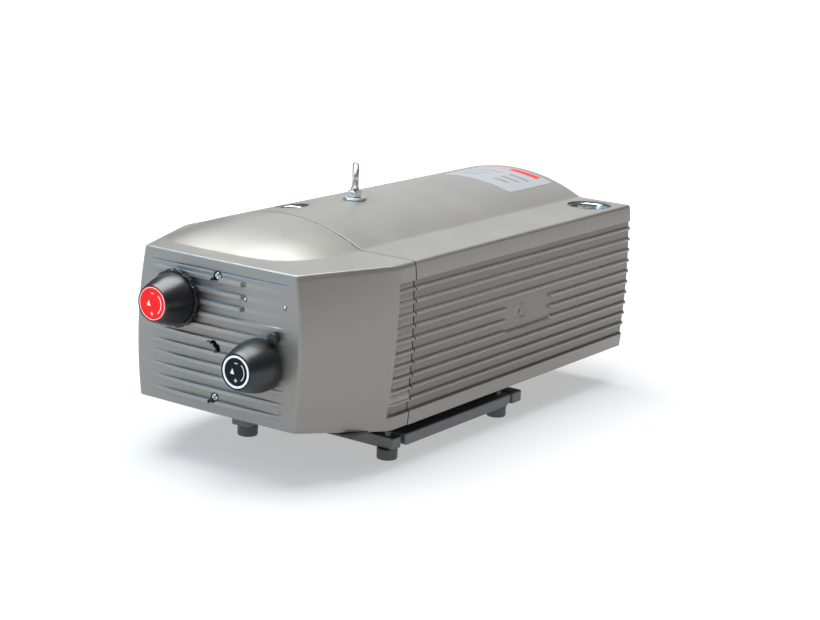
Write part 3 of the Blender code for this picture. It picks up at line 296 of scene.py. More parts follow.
def ribbon(path, width, depth, facing=(0.0, -1.0, 0.0)):
    """A flat strip of a width and depth along a path, lying on a plane that faces a direction."""
    path = np.asarray(path, float)
    facing = np.asarray(facing, float)
    along = np.gradient(path, axis=0)
    along /= np.linalg.norm(along, axis=1)[:, None]
    side = np.cross(along, facing)
    corners = [(-0.5, 0.0), (0.5, 0.0), (0.5, 1.0), (-0.5, 1.0)]
    ring = [path + side * width * across + facing * depth * rise for across, rise in corners]
    rows = np.stack(ring, axis=1)
    first = np.repeat(rows[:1].mean(axis=1, keepdims=True), 4, axis=1)
    last = np.repeat(rows[-1:].mean(axis=1, keepdims=True), 4, axis=1)
    return grid_shape(np.concatenate([first, rows, last]), wrap_columns=True)


def arc_points(centre, radius, start, end, steps=24):
    """Points on an arc in the plane of the knobs' faces, angles in degrees from +X towards +Z."""
    angle = np.radians(np.linspace(start, end, steps))
    x = centre[0] + radius * np.cos(angle)
    z = centre[2] + radius * np.sin(angle)
    return np.stack([x, np.full(steps, centre[1]), z], axis=-1)


# ---------------------------------------------------------------- cover surfaces
def swelling(height, bottom, top, swell):
    """Half width of a swelling wall: straight from bottom to top plus a parabola."""
    share = height / COVER_HEIGHT
    return bottom + (top - bottom) * share + 4 * swell * share * (1 - share)


def cover_half(height):
    """Half width of the cover over its rib tips."""
    return swelling(height, HALF_BOTTOM, HALF_TOP, COVER_SWELL)


def front_half(height):
    """Half width of the hood's front face."""
    return swelling(height, FRONT_HALF_BOTTOM, FRONT_HALF_TOP, FRONT_SWELL)


def barrel_height(x):
    """Height of the barrel above the shoulders: a circle's arc, joined to them by a soft corner."""
    reach = np.maximum(DOME_RADIUS**2 - (x - DOME_X) ** 2, 0.0)
    rise = np.sqrt(reach) - DOME_RADIUS + DOME_RISE
    return (rise + np.sqrt(rise**2 + DOME_BLEND**2)) / 2


def rib_share(height):
    """1 on the crests of the side ribs and on the plain bands, 0 between; a rib is half an ellipse."""
    half = bpy.context.scene.pump_ribs.thickness / 2
    distance = np.abs(height[..., None] - rib_heights()).min(axis=-1)
    ribs = np.sqrt(np.clip(1 - (distance / half) ** 2, 0.0, 1.0))
    lower = 1 - ease(height, BAND_LOW, BAND_LOW + 0.0018)
    return np.maximum(ribs, np.maximum(lower, ease(height, BAND_HIGH - 0.0018, BAND_HIGH)))


def rib_painted_light(height):
    """Painted highlight: full on the upper side of each rib and on the bands, less below it; the recesses
    between ribs get none and stay darker as painted shade.
    """
    half = bpy.context.scene.pump_ribs.thickness / 2
    above = (height[..., None] - rib_heights())
    nearest = np.abs(above).argmin(axis=-1)[..., None]
    above = np.take_along_axis(above, nearest, axis=-1)[..., 0]
    near = 1 - ease(np.abs(above), half * 0.9, half * 1.15)
    ribs = near * (0.45 + 0.55 * ease(above, -half * 0.5, half * 0.3))
    lower = 1 - ease(height, BAND_LOW, BAND_LOW + 0.0018)
    return np.maximum(ribs, 0.45 * np.maximum(lower, ease(height, BAND_HIGH - 0.0018, BAND_HIGH)))


def side_samples():
    """Heights at which the side wall is sampled, close together on the ribs' flanks."""
    sizes = bpy.context.scene.pump_ribs
    half = sizes.thickness / 2
    offsets = np.concatenate([half * np.sin(np.radians([0, 20, 40, 58, 74, 84, 90])), [half + 0.0009]])
    around = (rib_heights()[:, None] + np.concatenate([-offsets, offsets])).ravel()
    between = rib_heights()[:-1] + sizes.pitch / 2
    bands = [0.0, 0.0006, 0.0016, 0.008, BAND_LOW - 0.001, *np.linspace(BAND_LOW, BAND_LOW + 0.0018, 4)]
    upper = [*np.linspace(BAND_HIGH - 0.0018, BAND_HIGH, 4), BAND_HIGH + 0.002, 0.188]
    heights = np.concatenate([bands, around, between, upper])
    return np.unique(np.round(heights, 6))


def cover_section():
    """Cross-section over the rib tips, right rim to left rim, with its heights and rib share."""
    wall_z = side_samples()
    wall = np.stack([cover_half(wall_z), wall_z], axis=-1)
    turn = np.linspace(0, math.pi / 2, 7)
    edge_x = HALF_TOP - EDGE_ROUND * (1 - np.cos(turn))
    edge = np.stack([edge_x, COVER_HEIGHT - EDGE_ROUND * (1 - np.sin(turn))], axis=-1)
    right, left = DOME_X + DOME_HALF, DOME_X - DOME_HALF
    roof_x = np.concatenate([
        np.linspace(HALF_TOP - EDGE_ROUND - 0.004, right + 0.004, 12),
        np.linspace(right + 0.003, right - 0.003, 7),
        np.linspace(right - 0.006, left + 0.006, 56),
        np.linspace(left + 0.003, left - 0.003, 7),
        [left - 0.006],
    ])
    roof = np.stack([roof_x, COVER_HEIGHT + barrel_height(roof_x)], axis=-1)
    mirror = np.array([-1.0, 1.0])
    section = np.concatenate([wall, edge, roof, edge[::-1] * mirror, wall[::-1] * mirror])
    share = np.ones(len(section))
    share[:len(wall)] = rib_share(wall_z)
    share[-len(wall):] = rib_share(wall_z)[::-1]
    return section, share


def outward_normals(line):
    """Unit normals of a flat line that runs with its outside on its right."""
    tangent = np.gradient(line, axis=-2)
    tangent /= np.linalg.norm(tangent, axis=-1)[..., None]
    return np.stack([tangent[..., 1], -tangent[..., 0]], axis=-1)


def corner_inset(distance, radius):
    """How far a round corner has turned in at a distance from the end."""
    into = np.clip(1 - distance / radius, 0.0, 1.0)
    return radius * (1 - np.sqrt(1 - into**2))


def build_cover_mesh():
    """Cover: the cross-section carried to the rear, sunk between ribs, rounded and closed behind."""
    ribs = bpy.context.scene.pump_ribs
    section, share = cover_section()
    normal = outward_normals(section)
    length = REAR_Y - PARTING_Y
    start = PARTING_GAP / 2
    turn = np.linspace(0, math.pi / 2, 8)
    plain = np.linspace(start + 0.004, PAD_Y[0] - 0.008, 14)
    rear = np.linspace(PAD_Y[1] + 0.008, length - REAR_ROUND - 0.004, 14)
    dense = np.linspace(-0.005, 0.005, 13)
    middle = np.linspace(PAD_Y[0] + 0.007, PAD_Y[1] - 0.007, 18)
    end = length - REAR_ROUND * (1 - np.sin(turn))
    lip = start + LIP_ROUND * (1 - np.cos(turn[::2]))
    y = np.concatenate([lip, plain, PAD_Y[0] + dense, middle, PAD_Y[1] + dense, rear, end])[:, None]
    height, side = section[:, 1], section[:, 0]
    on_pad = (side > 0) & (height < COVER_HEIGHT - EDGE_ROUND)
    pad = ease(y, PAD_Y[0] - 0.0012, PAD_Y[0] + 0.0012)
    pad = pad * (1 - ease(y, PAD_Y[1] - 0.0012, PAD_Y[1] + 0.0012))
    pad = pad * ease(height, PAD_Z[0] - 0.0006, PAD_Z[0] + 0.0008)
    pad = pad * (1 - ease(height, PAD_Z[1], PAD_Z[1] + 0.001))
    local = share * (1 - pad * on_pad)
    corner = REAR_ROUND_FLOOR + (REAR_ROUND - REAR_ROUND_FLOOR) * local
    sink = ribs.depth * (1 - local) + corner_inset(length - y, corner) + corner_inset(y - start, LIP_ROUND)
    around = np.hypot(y - PLUG_AT[0], height - PLUG_AT[1])
    dish = 0.0009 * (1 - ease(around, 0.0095, 0.0115)) - 0.0006 * np.exp(-((around - 0.0112) / 0.0009) ** 2)
    sink = sink + dish * on_pad
    xz = section - normal * sink[..., None]
    outer = np.stack([xz[..., 0], np.broadcast_to(y, sink.shape), xz[..., 1]], axis=-1)
    inner_xz = np.broadcast_to(section - normal * (ribs.depth + WALL), xz.shape)
    inner_y = np.minimum(np.broadcast_to(y, sink.shape), length - WALL)
    inner = np.stack([inner_xz[..., 0], inner_y, np.maximum(inner_xz[..., 1], 0.0)], axis=-1)
    shrink = np.array([0.004, 0.042, 0.045, 0.052, 0.059, 0.062, 0.2, 0.4, 0.6, 0.8, 1.0])[:, None, None]
    panel = np.array([0.0, 0.0, 0.0, 0.0013, 0.0025, *[0.0025] * 6])[:, None]
    scale = np.array([1.0, 0.0, 1.0])
    cap = outer[-1] * (1 - shrink * scale)
    cap[..., 1] = length - panel
    inner_cap = inner[-1] * (1 - shrink * scale)
    inner_cap[..., 1] = length - WALL - panel
    outer = np.concatenate([outer, cap])
    inner = np.concatenate([inner, inner_cap])
    # Painted light and shade per point: the upper sides of the ribs, the bands, the roof and the rear wall
    # are lightened as painted highlight; the recesses between ribs and the pad field stay darker as painted
    # shade.
    light = np.full(len(section), 0.45)
    wall = section[:, 1] < COVER_HEIGHT - EDGE_ROUND
    light[wall] = rib_painted_light(section[wall, 1])
    relief = np.concatenate([light * (1 - pad * on_pad), np.full(cap.shape[:2], 0.3)])
    # The rows at the open joint are painted near black: painted shade in the gap.
    relief[:3] = -1.0
    place = np.array([0.0, PARTING_Y, RIM_Z])
    # The inner skin is painted near black as painted shade.
    mesh = make_mesh("main_cover_shell", [shell_shape(outer + place, inner + place)],
                     np.concatenate([relief.ravel(), np.full(relief.size, -1.0)]))
    weld(mesh)
    ports = [port_tool("suction_port_socket", 0.0010), port_tool("exhaust_port_socket", 0.0010)]
    return cut(mesh, ports)


def port_tool(node, clearance):
    """Upright cylinder through the cover round a port socket."""
    low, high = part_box(node)
    middle = (low + high) / 2
    radius = port_radius(node) + clearance
    profile = np.array([(0, RIM_Z + 0.17), (radius, RIM_Z + 0.17), (radius, 0.34), (0, 0.34)])
    return turned(profile, (middle.x, middle.y, 0), "Z", 96)


def port_radius(node):
    """Outer radius of a port socket's upper ring."""
    return {"suction_port_socket": 0.0285, "exhaust_port_socket": 0.0195}[node]


def hood_plan(height):
    """The hood's outline seen from above, right joint to left joint, for an array of heights.

    Straight shoulder, quadratic bend, straight cheek, small quadratic corner, then a shallow
    parabola across the front; the left half mirrors the right one.
    """
    half = cover_half(height)[:, None]
    front = front_half(height)[:, None]
    bend, corner = 0.011, 0.0035
    cheek_x, cheek_y = front - half, (HOOD_SHOULDER - HOOD_DEPTH) * np.ones_like(half)
    length = np.hypot(cheek_x, cheek_y)
    step_x, step_y = cheek_x / length, cheek_y / length
    one = np.ones_like(half)
    lip = LIP_ROUND * (1 - np.cos(np.linspace(0, math.pi / 2, 4)))
    straight = np.concatenate([lip, np.linspace(0.003, HOOD_SHOULDER - bend, 8)])
    shoulder = (half * np.ones(len(straight)), -one * (straight + PARTING_GAP / 2))
    share = np.linspace(0, 1, 9)[1:]
    a, b, c = (1 - share) ** 2, 2 * share * (1 - share), share**2
    bend_x = half * (a + b) + (half + step_x * bend) * c
    bend_y = -(HOOD_SHOULDER - bend + PARTING_GAP / 2) * a - HOOD_SHOULDER * b
    bend_y = bend_y + (-HOOD_SHOULDER + step_y * bend) * c
    run = np.linspace(0, 1, 9)[1:]
    run = bend + (length - bend - corner) * run
    cheek = (half + step_x * run, -HOOD_SHOULDER + step_y * run)
    start_x, start_y = cheek[0][:, -1:], cheek[1][:, -1:]
    stop_x = front - corner
    stop_y = -HOOD_DEPTH - FLOOR_BOW * (1 - (stop_x / front) ** 2)
    share = np.linspace(0, 1, 8)[1:]
    a, b, c = (1 - share) ** 2, 2 * share * (1 - share), share**2
    corner_x = start_x * a + front * b + stop_x * c
    corner_y = start_y * a - HOOD_DEPTH * b + stop_y * c
    by_edge, near = np.linspace(0.985, 0.37, 32), np.linspace(0.352, 0.30, 9)
    fine = np.concatenate([by_edge, near, np.linspace(0.28, 0.0, 16)])
    face_x = stop_x * fine
    face_y = -HOOD_DEPTH - FLOOR_BOW * (1 - (face_x / front) ** 2)
    x = np.concatenate([shoulder[0], bend_x, cheek[0], corner_x, face_x], axis=1)
    y = np.concatenate([shoulder[1], bend_y, cheek[1], corner_y, face_y], axis=1)
    x = np.concatenate([x, -x[:, -2::-1]], axis=1)
    y = np.concatenate([y, y[:, -2::-1]], axis=1)
    return np.stack([x, y], axis=-1)


def rim_height(y):
    """Height of the hood's lower rim, rising along the cheeks."""
    return RIM_LIFT * np.clip((-y - HOOD_SHOULDER) / (HOOD_DEPTH - HOOD_SHOULDER), 0, 1)


def front_relief(x, z):
    """Height of the front ribs over the face, and depth of the fine groove above them."""
    number = np.clip(np.round((FRONT_RIB_TOP - z) / FRONT_RIB_PITCH), 0, FRONT_RIBS - 1)
    distance = np.abs(z - (FRONT_RIB_TOP - number * FRONT_RIB_PITCH))
    share = 1 - ease(distance, 0.0021, 0.0029)
    crest = (CREST_BOW - FLOOR_BOW) * np.clip(1 - (x / FRONT_RIB_HALF) ** 2, 0, 1)
    stop = 1 - ease(x, PLATE_FIELD_X - 0.0006, PLATE_FIELD_X + 0.0006)
    rib = share * crest * np.where(number < PLATE_RIBS, stop, 1.0)
    for knob_x, knob_z in KNOBS.values():
        rib = rib * ease(np.hypot(x - knob_x, z - knob_z), 0.0200, 0.0240)
    pocket = ease(x, PLATE_FIELD_X, PLATE_FIELD_X + 0.0008) * (1 - ease(x, 0.0395, 0.0412))
    rib = rib - 0.0016 * share * pocket * (number < PLATE_RIBS)
    inside = ease(x, -0.101, -0.099) * (1 - ease(x, 0.101, 0.103))
    groove = 0.0009 * np.exp(-((z - FRONT_GROOVE_Z) / 0.0006) ** 2) * inside
    return rib - groove, share


def lens_rim(fraction):
    """Rim of the hood's domed field: half a superellipse, at shares of its length."""
    angle = np.linspace(0, math.pi, 3001)
    power = 2 / LENS_POWER
    x = DOME_X + LENS_HALF * np.sign(np.cos(angle)) * np.abs(np.cos(angle)) ** power
    y = -LENS_DEPTH * np.abs(np.sin(angle)) ** power
    length = np.concatenate([[0], np.cumsum(np.hypot(np.diff(x), np.diff(y)))])
    at = fraction * length[-1]
    return np.stack([np.interp(at, length, x), np.interp(at, length, y)], axis=-1)


def hood_levels():
    """Heights of the wall's rows: close together on the ribs of the face and of the shoulders."""
    sizes = bpy.context.scene.pump_ribs
    step = np.array([-1.0, -0.90, -0.78, -0.66, -0.53, 0.0, 0.53, 0.66, 0.78, 0.90, 1.0])
    centres = FRONT_RIB_TOP - FRONT_RIB_PITCH * np.arange(FRONT_RIBS)
    front = np.sort((centres[:, None] + 0.0032 * step).ravel())
    flank = sizes.thickness / 2 * np.sin(np.radians([0, 35, 62, 90]))
    side = (rib_heights()[:, None] + np.concatenate([-flank, flank])).ravel()
    plain = [0.0, 0.0007, 0.002, 0.009, BAND_LOW, BAND_LOW + 0.0009, BAND_LOW + 0.0018, 0.022, 0.026]
    upper = [BAND_HIGH - 0.0018, BAND_HIGH - 0.0009, BAND_HIGH, 0.1835, 0.1862, 0.189, 0.1925]
    groove = [0.1850, 0.1856, 0.1868, 0.1874]
    levels = np.unique(np.concatenate([front, side, plain, upper, groove]))
    return levels[np.concatenate([[True], np.diff(levels) > 0.00025])]


def build_hood_mesh():
    """Hood: walls that follow the plan upwards, a round upper edge, a flat roof and the lens."""
    ribs = bpy.context.scene.pump_ribs
    top_plan = hood_plan(np.array([COVER_HEIGHT]))[0]
    low = rim_height(top_plan[:, 1])
    at_joint = 1 - ease(-top_plan[:, 1], 0.020, 0.060)
    edge = 0.0022 + (EDGE_ROUND - 0.0022) * at_joint
    levels = hood_levels()[:, None]
    lowest = 0.026
    z = np.where(levels < lowest, low + (lowest - low) * levels / lowest, levels)
    z = np.concatenate([z, (COVER_HEIGHT - edge)[None]])
    plan = plan_at(z)
    normal = -outward_normals(plan)
    x, y = plan[..., 0], plan[..., 1]
    side = rib_share(z)
    lower = 1 - z / COVER_HEIGHT
    fade_low = 0.028 + 0.008 * lower
    fade = 1 - ease(-y, fade_low, fade_low + 0.0025 + 0.008 * lower)
    sink = ribs.depth * (1 - side) * fade
    on_front = (np.abs(x) < front_half(z) - 0.0035) & (y < -HOOD_DEPTH + 0.001)
    front, front_share = front_relief(x, z)
    sink = sink - front * on_front
    sink = sink + corner_inset(z - low, 0.0012) + corner_inset(-y - PARTING_GAP / 2, LIP_ROUND)
    skin = plan - normal * sink[..., None]
    skin[..., 1] = np.minimum(skin[..., 1], -PARTING_GAP / 2)
    wall_rows = np.concatenate([skin, z[..., None]], axis=-1)
    flat_normal = -outward_normals(top_plan)
    turn = np.linspace(0, math.pi / 2, 7)[1:, None]
    inset = edge * (1 - np.cos(turn))
    edge_xy = top_plan - flat_normal * inset[..., None]
    edge_z = COVER_HEIGHT - edge * (1 - np.sin(turn))
    edge_rows = np.concatenate([edge_xy, edge_z[..., None]], axis=-1)
    edge_rows[..., 1] = np.minimum(edge_rows[..., 1], -PARTING_GAP / 2)
    outline = edge_rows[-1, :, :2]
    length = np.concatenate([[0], np.cumsum(np.hypot(*np.diff(top_plan, axis=0).T))])
    rim = lens_rim(length / length[-1])
    rim[:, 1] = np.minimum(rim[:, 1], -PARTING_GAP / 2)
    across = np.linspace(0, 1, 15)[1:, None, None]
    roof_xy = outline * (1 - across) + rim * across
    roof_z = np.full(roof_xy.shape[:2], COVER_HEIGHT)
    roof_rows = np.concatenate([roof_xy, roof_z[..., None]], axis=-1)
    radial = np.concatenate([[0.985], np.linspace(0.96, 0.0, 27)])[:, None, None]
    centre = np.array([DOME_X, -PARTING_GAP / 2])
    lens_xy = centre + (rim - centre) * radial
    rise = np.sqrt(DOME_RADIUS**2 - (DOME_HALF * radial[..., 0]) ** 2) - DOME_RADIUS + DOME_RISE
    lens_z = COVER_HEIGHT + rise * np.ones(lens_xy.shape[:2])
    lens_rows = np.concatenate([lens_xy, lens_z[..., None]], axis=-1)
    outer = np.concatenate([wall_rows, edge_rows, roof_rows, lens_rows])
    deep = WALL + ribs.depth * (1 - ease(-y, 0.03, 0.05))
    floor = plan - normal * deep[..., None]
    inner_wall = np.concatenate([floor, np.minimum(z, COVER_HEIGHT - WALL)[..., None]], axis=-1)
    inner_edge = np.repeat(inner_wall[-1:], len(edge_rows), axis=0)
    inner_edge[..., 2] = COVER_HEIGHT - WALL
    inner_roof = np.concatenate([roof_rows, lens_rows])
    inner_roof[..., 2] -= WALL
    inner_roof[:, :, :2] = inner_edge[-1, :, :2] + (inner_roof[:, :, :2] - outline)
    inner_roof[..., 1] = np.minimum(inner_roof[..., 1], -PARTING_GAP / 2)
    blend = np.linspace(1, 0, len(inner_roof))[:, None, None]
    plain = np.concatenate([roof_rows, lens_rows])[..., :2]
    inner_roof[..., :2] = inner_roof[..., :2] * blend + plain * (1 - blend)
    inner = np.concatenate([inner_wall, inner_edge, inner_roof])
    inner[..., 1] = np.minimum(inner[..., 1], -PARTING_GAP / 2)
    crest = front_share * (1 - (x / FRONT_RIB_HALF) ** 2).clip(0, 1)
    # Painted light and shade per point: the front face is lightened, most on its rib crests, as painted
    # highlight; the side ribs are lit on their upper sides and the recesses between them stay darker; edge,
    # roof and lens are lightened.
    relief = np.where(on_front, 0.4 + 0.25 * crest, rib_painted_light(z) * fade + 0.45 * (1 - fade))
    relief = np.concatenate([relief, np.full((len(outer) - len(relief), relief.shape[1]), 0.45)])
    # The columns at the open joint are painted near black: painted shade in the gap.
    relief[:, [0, 1, 2, -1, -2, -3]] = -1.0
    place = np.array([0.0, PARTING_Y, RIM_Z])
    # The inner skin is painted near black as painted shade.
    mesh = make_mesh("front_hood_shell", [shell_shape(outer + place, inner + place)],
                     np.concatenate([relief.ravel(), np.full(relief.size, -1.0)]))
    weld(mesh)
    for tools in hood_tools():
        mesh = cut(mesh, tools)
    return mesh


def plan_at(z):
    """The hood's outline with each column read at its own heights."""
    columns = z.shape[1]
    levels = np.linspace(0, COVER_HEIGHT, 41)
    table = hood_plan(levels)
    position = z / COVER_HEIGHT * 40
    low = np.clip(np.floor(position).astype(int), 0, 39)
    share = (position - low)[..., None]
    column = np.broadcast_to(np.arange(columns), z.shape)
    return table[low, column] * (1 - share) + table[low + 1, column] * share


def drill(x, z, radius, depth, steps=32):
    """Cylinder that goes a depth into the hood's face at a place on it."""
    front = -HOOD_DEPTH - CREST_BOW - 0.004
    end = -HOOD_DEPTH - FLOOR_BOW + depth
    profile = np.array([(0, front), (radius, front), (radius, end), (0, end)])
    return turned(profile, (x, PARTING_Y, RIM_Z + z), "Y", steps)


def hood_tools():
    """Cutters in groups that don't touch: screw cups, access hole and pins, then the lobes beside them."""
    wells = [drill(0.0, z, 0.0060, 0.010) for z in SCREWS_Z]
    wells.append(drill(0.0, ACCESS_Z, 0.0054, 0.010))
    wells.extend(drill(x, PIN_Z, 0.0021, 0.002, 20) for x in PIN_X)
    lobes = [drill(-0.0050, z - 0.0052, 0.0021, 0.010, 20) for z in SCREWS_Z]
    lobes.append(drill(-0.0075, ACCESS_Z + 0.0012, 0.0026, 0.010, 20))
    return wells, lobes, [drill(0.0028, ACCESS_Z - 0.0060, 0.0038, 0.010, 20)]


ACCESS_Z = 0.1010
PIN_X = (0.0415, 0.0985)
PIN_Z = 0.1612


# ---------------------------------------------------------------- small shapes
def prism(outline, low, high, edge, axis="X"):
    """A closed outline carried along an axis, drawn in by a round edge at both ends and closed."""
    outline = np.asarray(outline, float)
    ahead = np.roll(outline, -1, axis=0) - np.roll(outline, 1, axis=0)
    ahead /= np.linalg.norm(ahead, axis=1)[:, None]
    inward = np.stack([-ahead[:, 1], ahead[:, 0]], axis=-1)
    middle = outline.mean(axis=0)
    inward *= np.sign(((middle - outline) * inward).sum(axis=1).mean())
    turn = np.linspace(0, math.pi / 2, 4)
    inset = edge * (1 - np.sin(turn))
    reach = edge * (1 - np.cos(turn))
    inset = np.concatenate([inset, inset[::-1]])
    along = np.concatenate([low + reach, high - reach[::-1]])
    rows = outline + inward * inset[:, None, None]
    cap = np.broadcast_to(middle, (1, len(outline), 2))
    rows = np.concatenate([cap, rows, cap])
    along = np.concatenate([[low], along, [high]])
    along = np.broadcast_to(along[:, None], rows.shape[:2])
    first, second = rows[..., 0], rows[..., 1]
    order = {"X": (along, first, second), "Y": (first, along, second), "Z": (first, second, along)}
    return grid_shape(np.stack(order[axis], axis=-1), wrap_columns=True)


def hexagon_nut(centre, flats, low, high, turn, bore):
    """A nut: radius of a hexagon at each angle, never more than its chamfer circle's at each height."""
    angle = np.linspace(0, 2 * math.pi, 96, endpoint=False)
    folded = (angle + math.pi / 6) % (math.pi / 3) - math.pi / 6
    hexagon = flats / 2 / np.cos(folded)
    corner = flats / math.sqrt(3)
    face, chamfer, tall = flats * 0.47, flats * 0.492, high - low
    limit = np.array([bore, face, chamfer, corner, corner, chamfer, face, bore])
    height = np.array([0.0, 0.0, 0.0004, 0.0014, tall - 0.0014, tall - 0.0004, tall, tall])
    radius = np.minimum(hexagon, limit[:, None])
    spin = angle + turn
    z = low + np.broadcast_to(height[:, None], radius.shape)
    points = np.stack([centre[0] + radius * np.cos(spin), centre[1] + radius * np.sin(spin), z], axis=-1)
    return grid_shape(points, wrap_rows=True, wrap_columns=True)


def hoop(centre, radius, wire, turn):
    """A round ring of round wire, standing upright and turned about the vertical."""
    around = np.linspace(0, 2 * math.pi, 96, endpoint=False)[:, None]
    tube = np.linspace(0, 2 * math.pi, 32, endpoint=False)
    reach = radius + wire * np.cos(tube)
    across = wire * np.sin(tube) + 0 * around
    along = reach * np.cos(around)
    x = across * math.cos(turn) - along * math.sin(turn)
    y = across * math.sin(turn) + along * math.cos(turn)
    z = reach * np.sin(around)
    points = np.stack([x, y, z], axis=-1) + np.asarray(centre, float)
    return grid_shape(points, wrap_rows=True, wrap_columns=True)


def threaded(radius, depth, pitch, low, high):
    """Profile of a rod with grooves: the radius dips by the depth once per pitch."""
    height = np.linspace(low, high, int((high - low) / pitch * 6))
    wave = (1 - np.cos(2 * math.pi * (height - low) / pitch)) / 2
    return np.stack([radius - depth * wave, height], axis=-1)


FINISHES = {
    # kind, colour name, roughness, metallic, grain size, grain depth, colour spread
    "cast_paint": ("hammered", "paint", 0.38, 0.6, 1000.0, 0.22, 0.09),
    # Near-black of the webs under the covers; the same finish on the cup behind the access hole is painted
    # shade.
    "web_paint": ("hammered", "web", 0.5, 0.0, 700.0, 0.12, 0.2),
    "bar_paint": ("hammered", "bars", 0.45, 0.5, 700.0, 0.15, 0.12),
    "black_plastic": ("moulded", "black", 0.34, 0.0, 1500.0, 0.05, 0.25),
    "dull_black": ("moulded", "black", 0.75, 0.0, 1500.0, 0.02, 0.1),
    "red_plastic": ("moulded", "red", 0.6, 0.0, 1500.0, 0.03, 0.06),
    "white_print": ("moulded", "print_white", 0.5, 0.0, 1500.0, 0.03, 0.04),
    "zinc_steel": ("brushed", "zinc", 0.32, 0.95, 600.0, 0.06, 0.14),
    "bright_steel": ("turned", "steel", 0.22, 1.0, 1100.0, 0.05, 0.12),
    "spring_steel": ("brushed", "spring", 0.3, 0.9, 800.0, 0.05, 0.15),
    "cast_iron": ("sand_cast", "iron", 0.6, 0.7, 420.0, 0.35, 0.25),
    "raw_aluminium": ("sand_cast", "aluminium", 0.45, 0.85, 520.0, 0.22, 0.15),
    "carbon": ("sand_cast", "carbon", 0.5, 0.1, 1400.0, 0.1, 0.3),
    "copper_winding": ("wound", "copper", 0.3, 0.75, 900.0, 0.5, 0.25),
    "foot_rubber": ("moulded", "rubber", 0.55, 0.0, 1200.0, 0.10, 0.2),
    "filter_felt": ("fibrous", "felt", 0.9, 0.0, 700.0, 0.6, 0.25),
    "sheet_steel": ("brushed", "sheet", 0.5, 0.6, 500.0, 0.08, 0.2),
    "brass": ("turned", "brass", 0.28, 1.0, 900.0, 0.06, 0.12),
    "label": ("moulded", "label", 0.38, 0.0, 1500.0, 0.02, 0.03),
}


def material(finish):
    """The finish's material, made the first time that it is asked for."""
    return bpy.data.materials.get("pump_" + finish) or build_material(finish)


class Graph:
    """Short words for a material's nodes and links."""

    def __init__(self, finish):
        self.material = bpy.data.materials.new("pump_" + finish)
        self.material.use_nodes = True
        self.tree = self.material.node_tree
        self.shader = self.tree.nodes["Principled BSDF"]
        self.place = self.node("ShaderNodeTexCoord").outputs["Object"]

    def node(self, kind, **settings):
        """Add a node and set its properties."""
        made = self.tree.nodes.new(kind)
        for key, value in settings.items():
            setattr(made, key, value)
        return made

    def feed(self, socket, value):
        """Link an output to the socket, or set a plain value on it."""
        if isinstance(value, bpy.types.NodeSocket):
            self.tree.links.new(value, socket)
        else:
            socket.default_value = value

    def math(self, operation, first, second=0.0):
        """One operation on two numbers or outputs."""
        made = self.node("ShaderNodeMath", operation=operation)
        self.feed(made.inputs[0], first)
        self.feed(made.inputs[1], second)
        return made.outputs[0]

    def noise(self, scale, detail=3.0, stretch=None):
        """Cloudy noise over the object coordinates, stretched if asked."""
        made = self.node("ShaderNodeTexNoise")
        vector = self.place
        if stretch:
            mapping = self.node("ShaderNodeMapping")
            mapping.inputs["Scale"].default_value = stretch
            self.feed(mapping.inputs["Vector"], self.place)
            vector = mapping.outputs[0]
        self.feed(made.inputs["Vector"], vector)
        made.inputs["Scale"].default_value = scale
        made.inputs["Detail"].default_value = detail
        return made.outputs["Fac"]

    def spread(self, value, low, high, new_low, new_high):
        """Map a value from one span to another."""
        made = self.node("ShaderNodeMapRange")
        for socket, number in zip(made.inputs[1:5], (low, high, new_low, new_high)):
            socket.default_value = number
        self.feed(made.inputs[0], value)
        return made.outputs[0]

    def mix(self, share, first, second):
        """Blend two colours by a share."""
        made = self.node("ShaderNodeMix", data_type="RGBA")
        self.feed(made.inputs["Factor"], share)
        self.feed(made.inputs["A"], first)
        self.feed(made.inputs["B"], second)
        return made.outputs["Result"]

    def bump(self, height, strength, distance):
        """Turn a height into a bump on the shader."""
        made = self.node("ShaderNodeBump")
        made.inputs["Strength"].default_value = strength
        made.inputs["Distance"].default_value = distance
        self.feed(made.inputs["Height"], height)
        self.feed(self.shader.inputs["Normal"], made.outputs[0])


def shade_of(colour, factor):
    """A colour made lighter or darker."""
    return tuple(min(1.0, channel * factor) for channel in colour[:3]) + (1.0,)


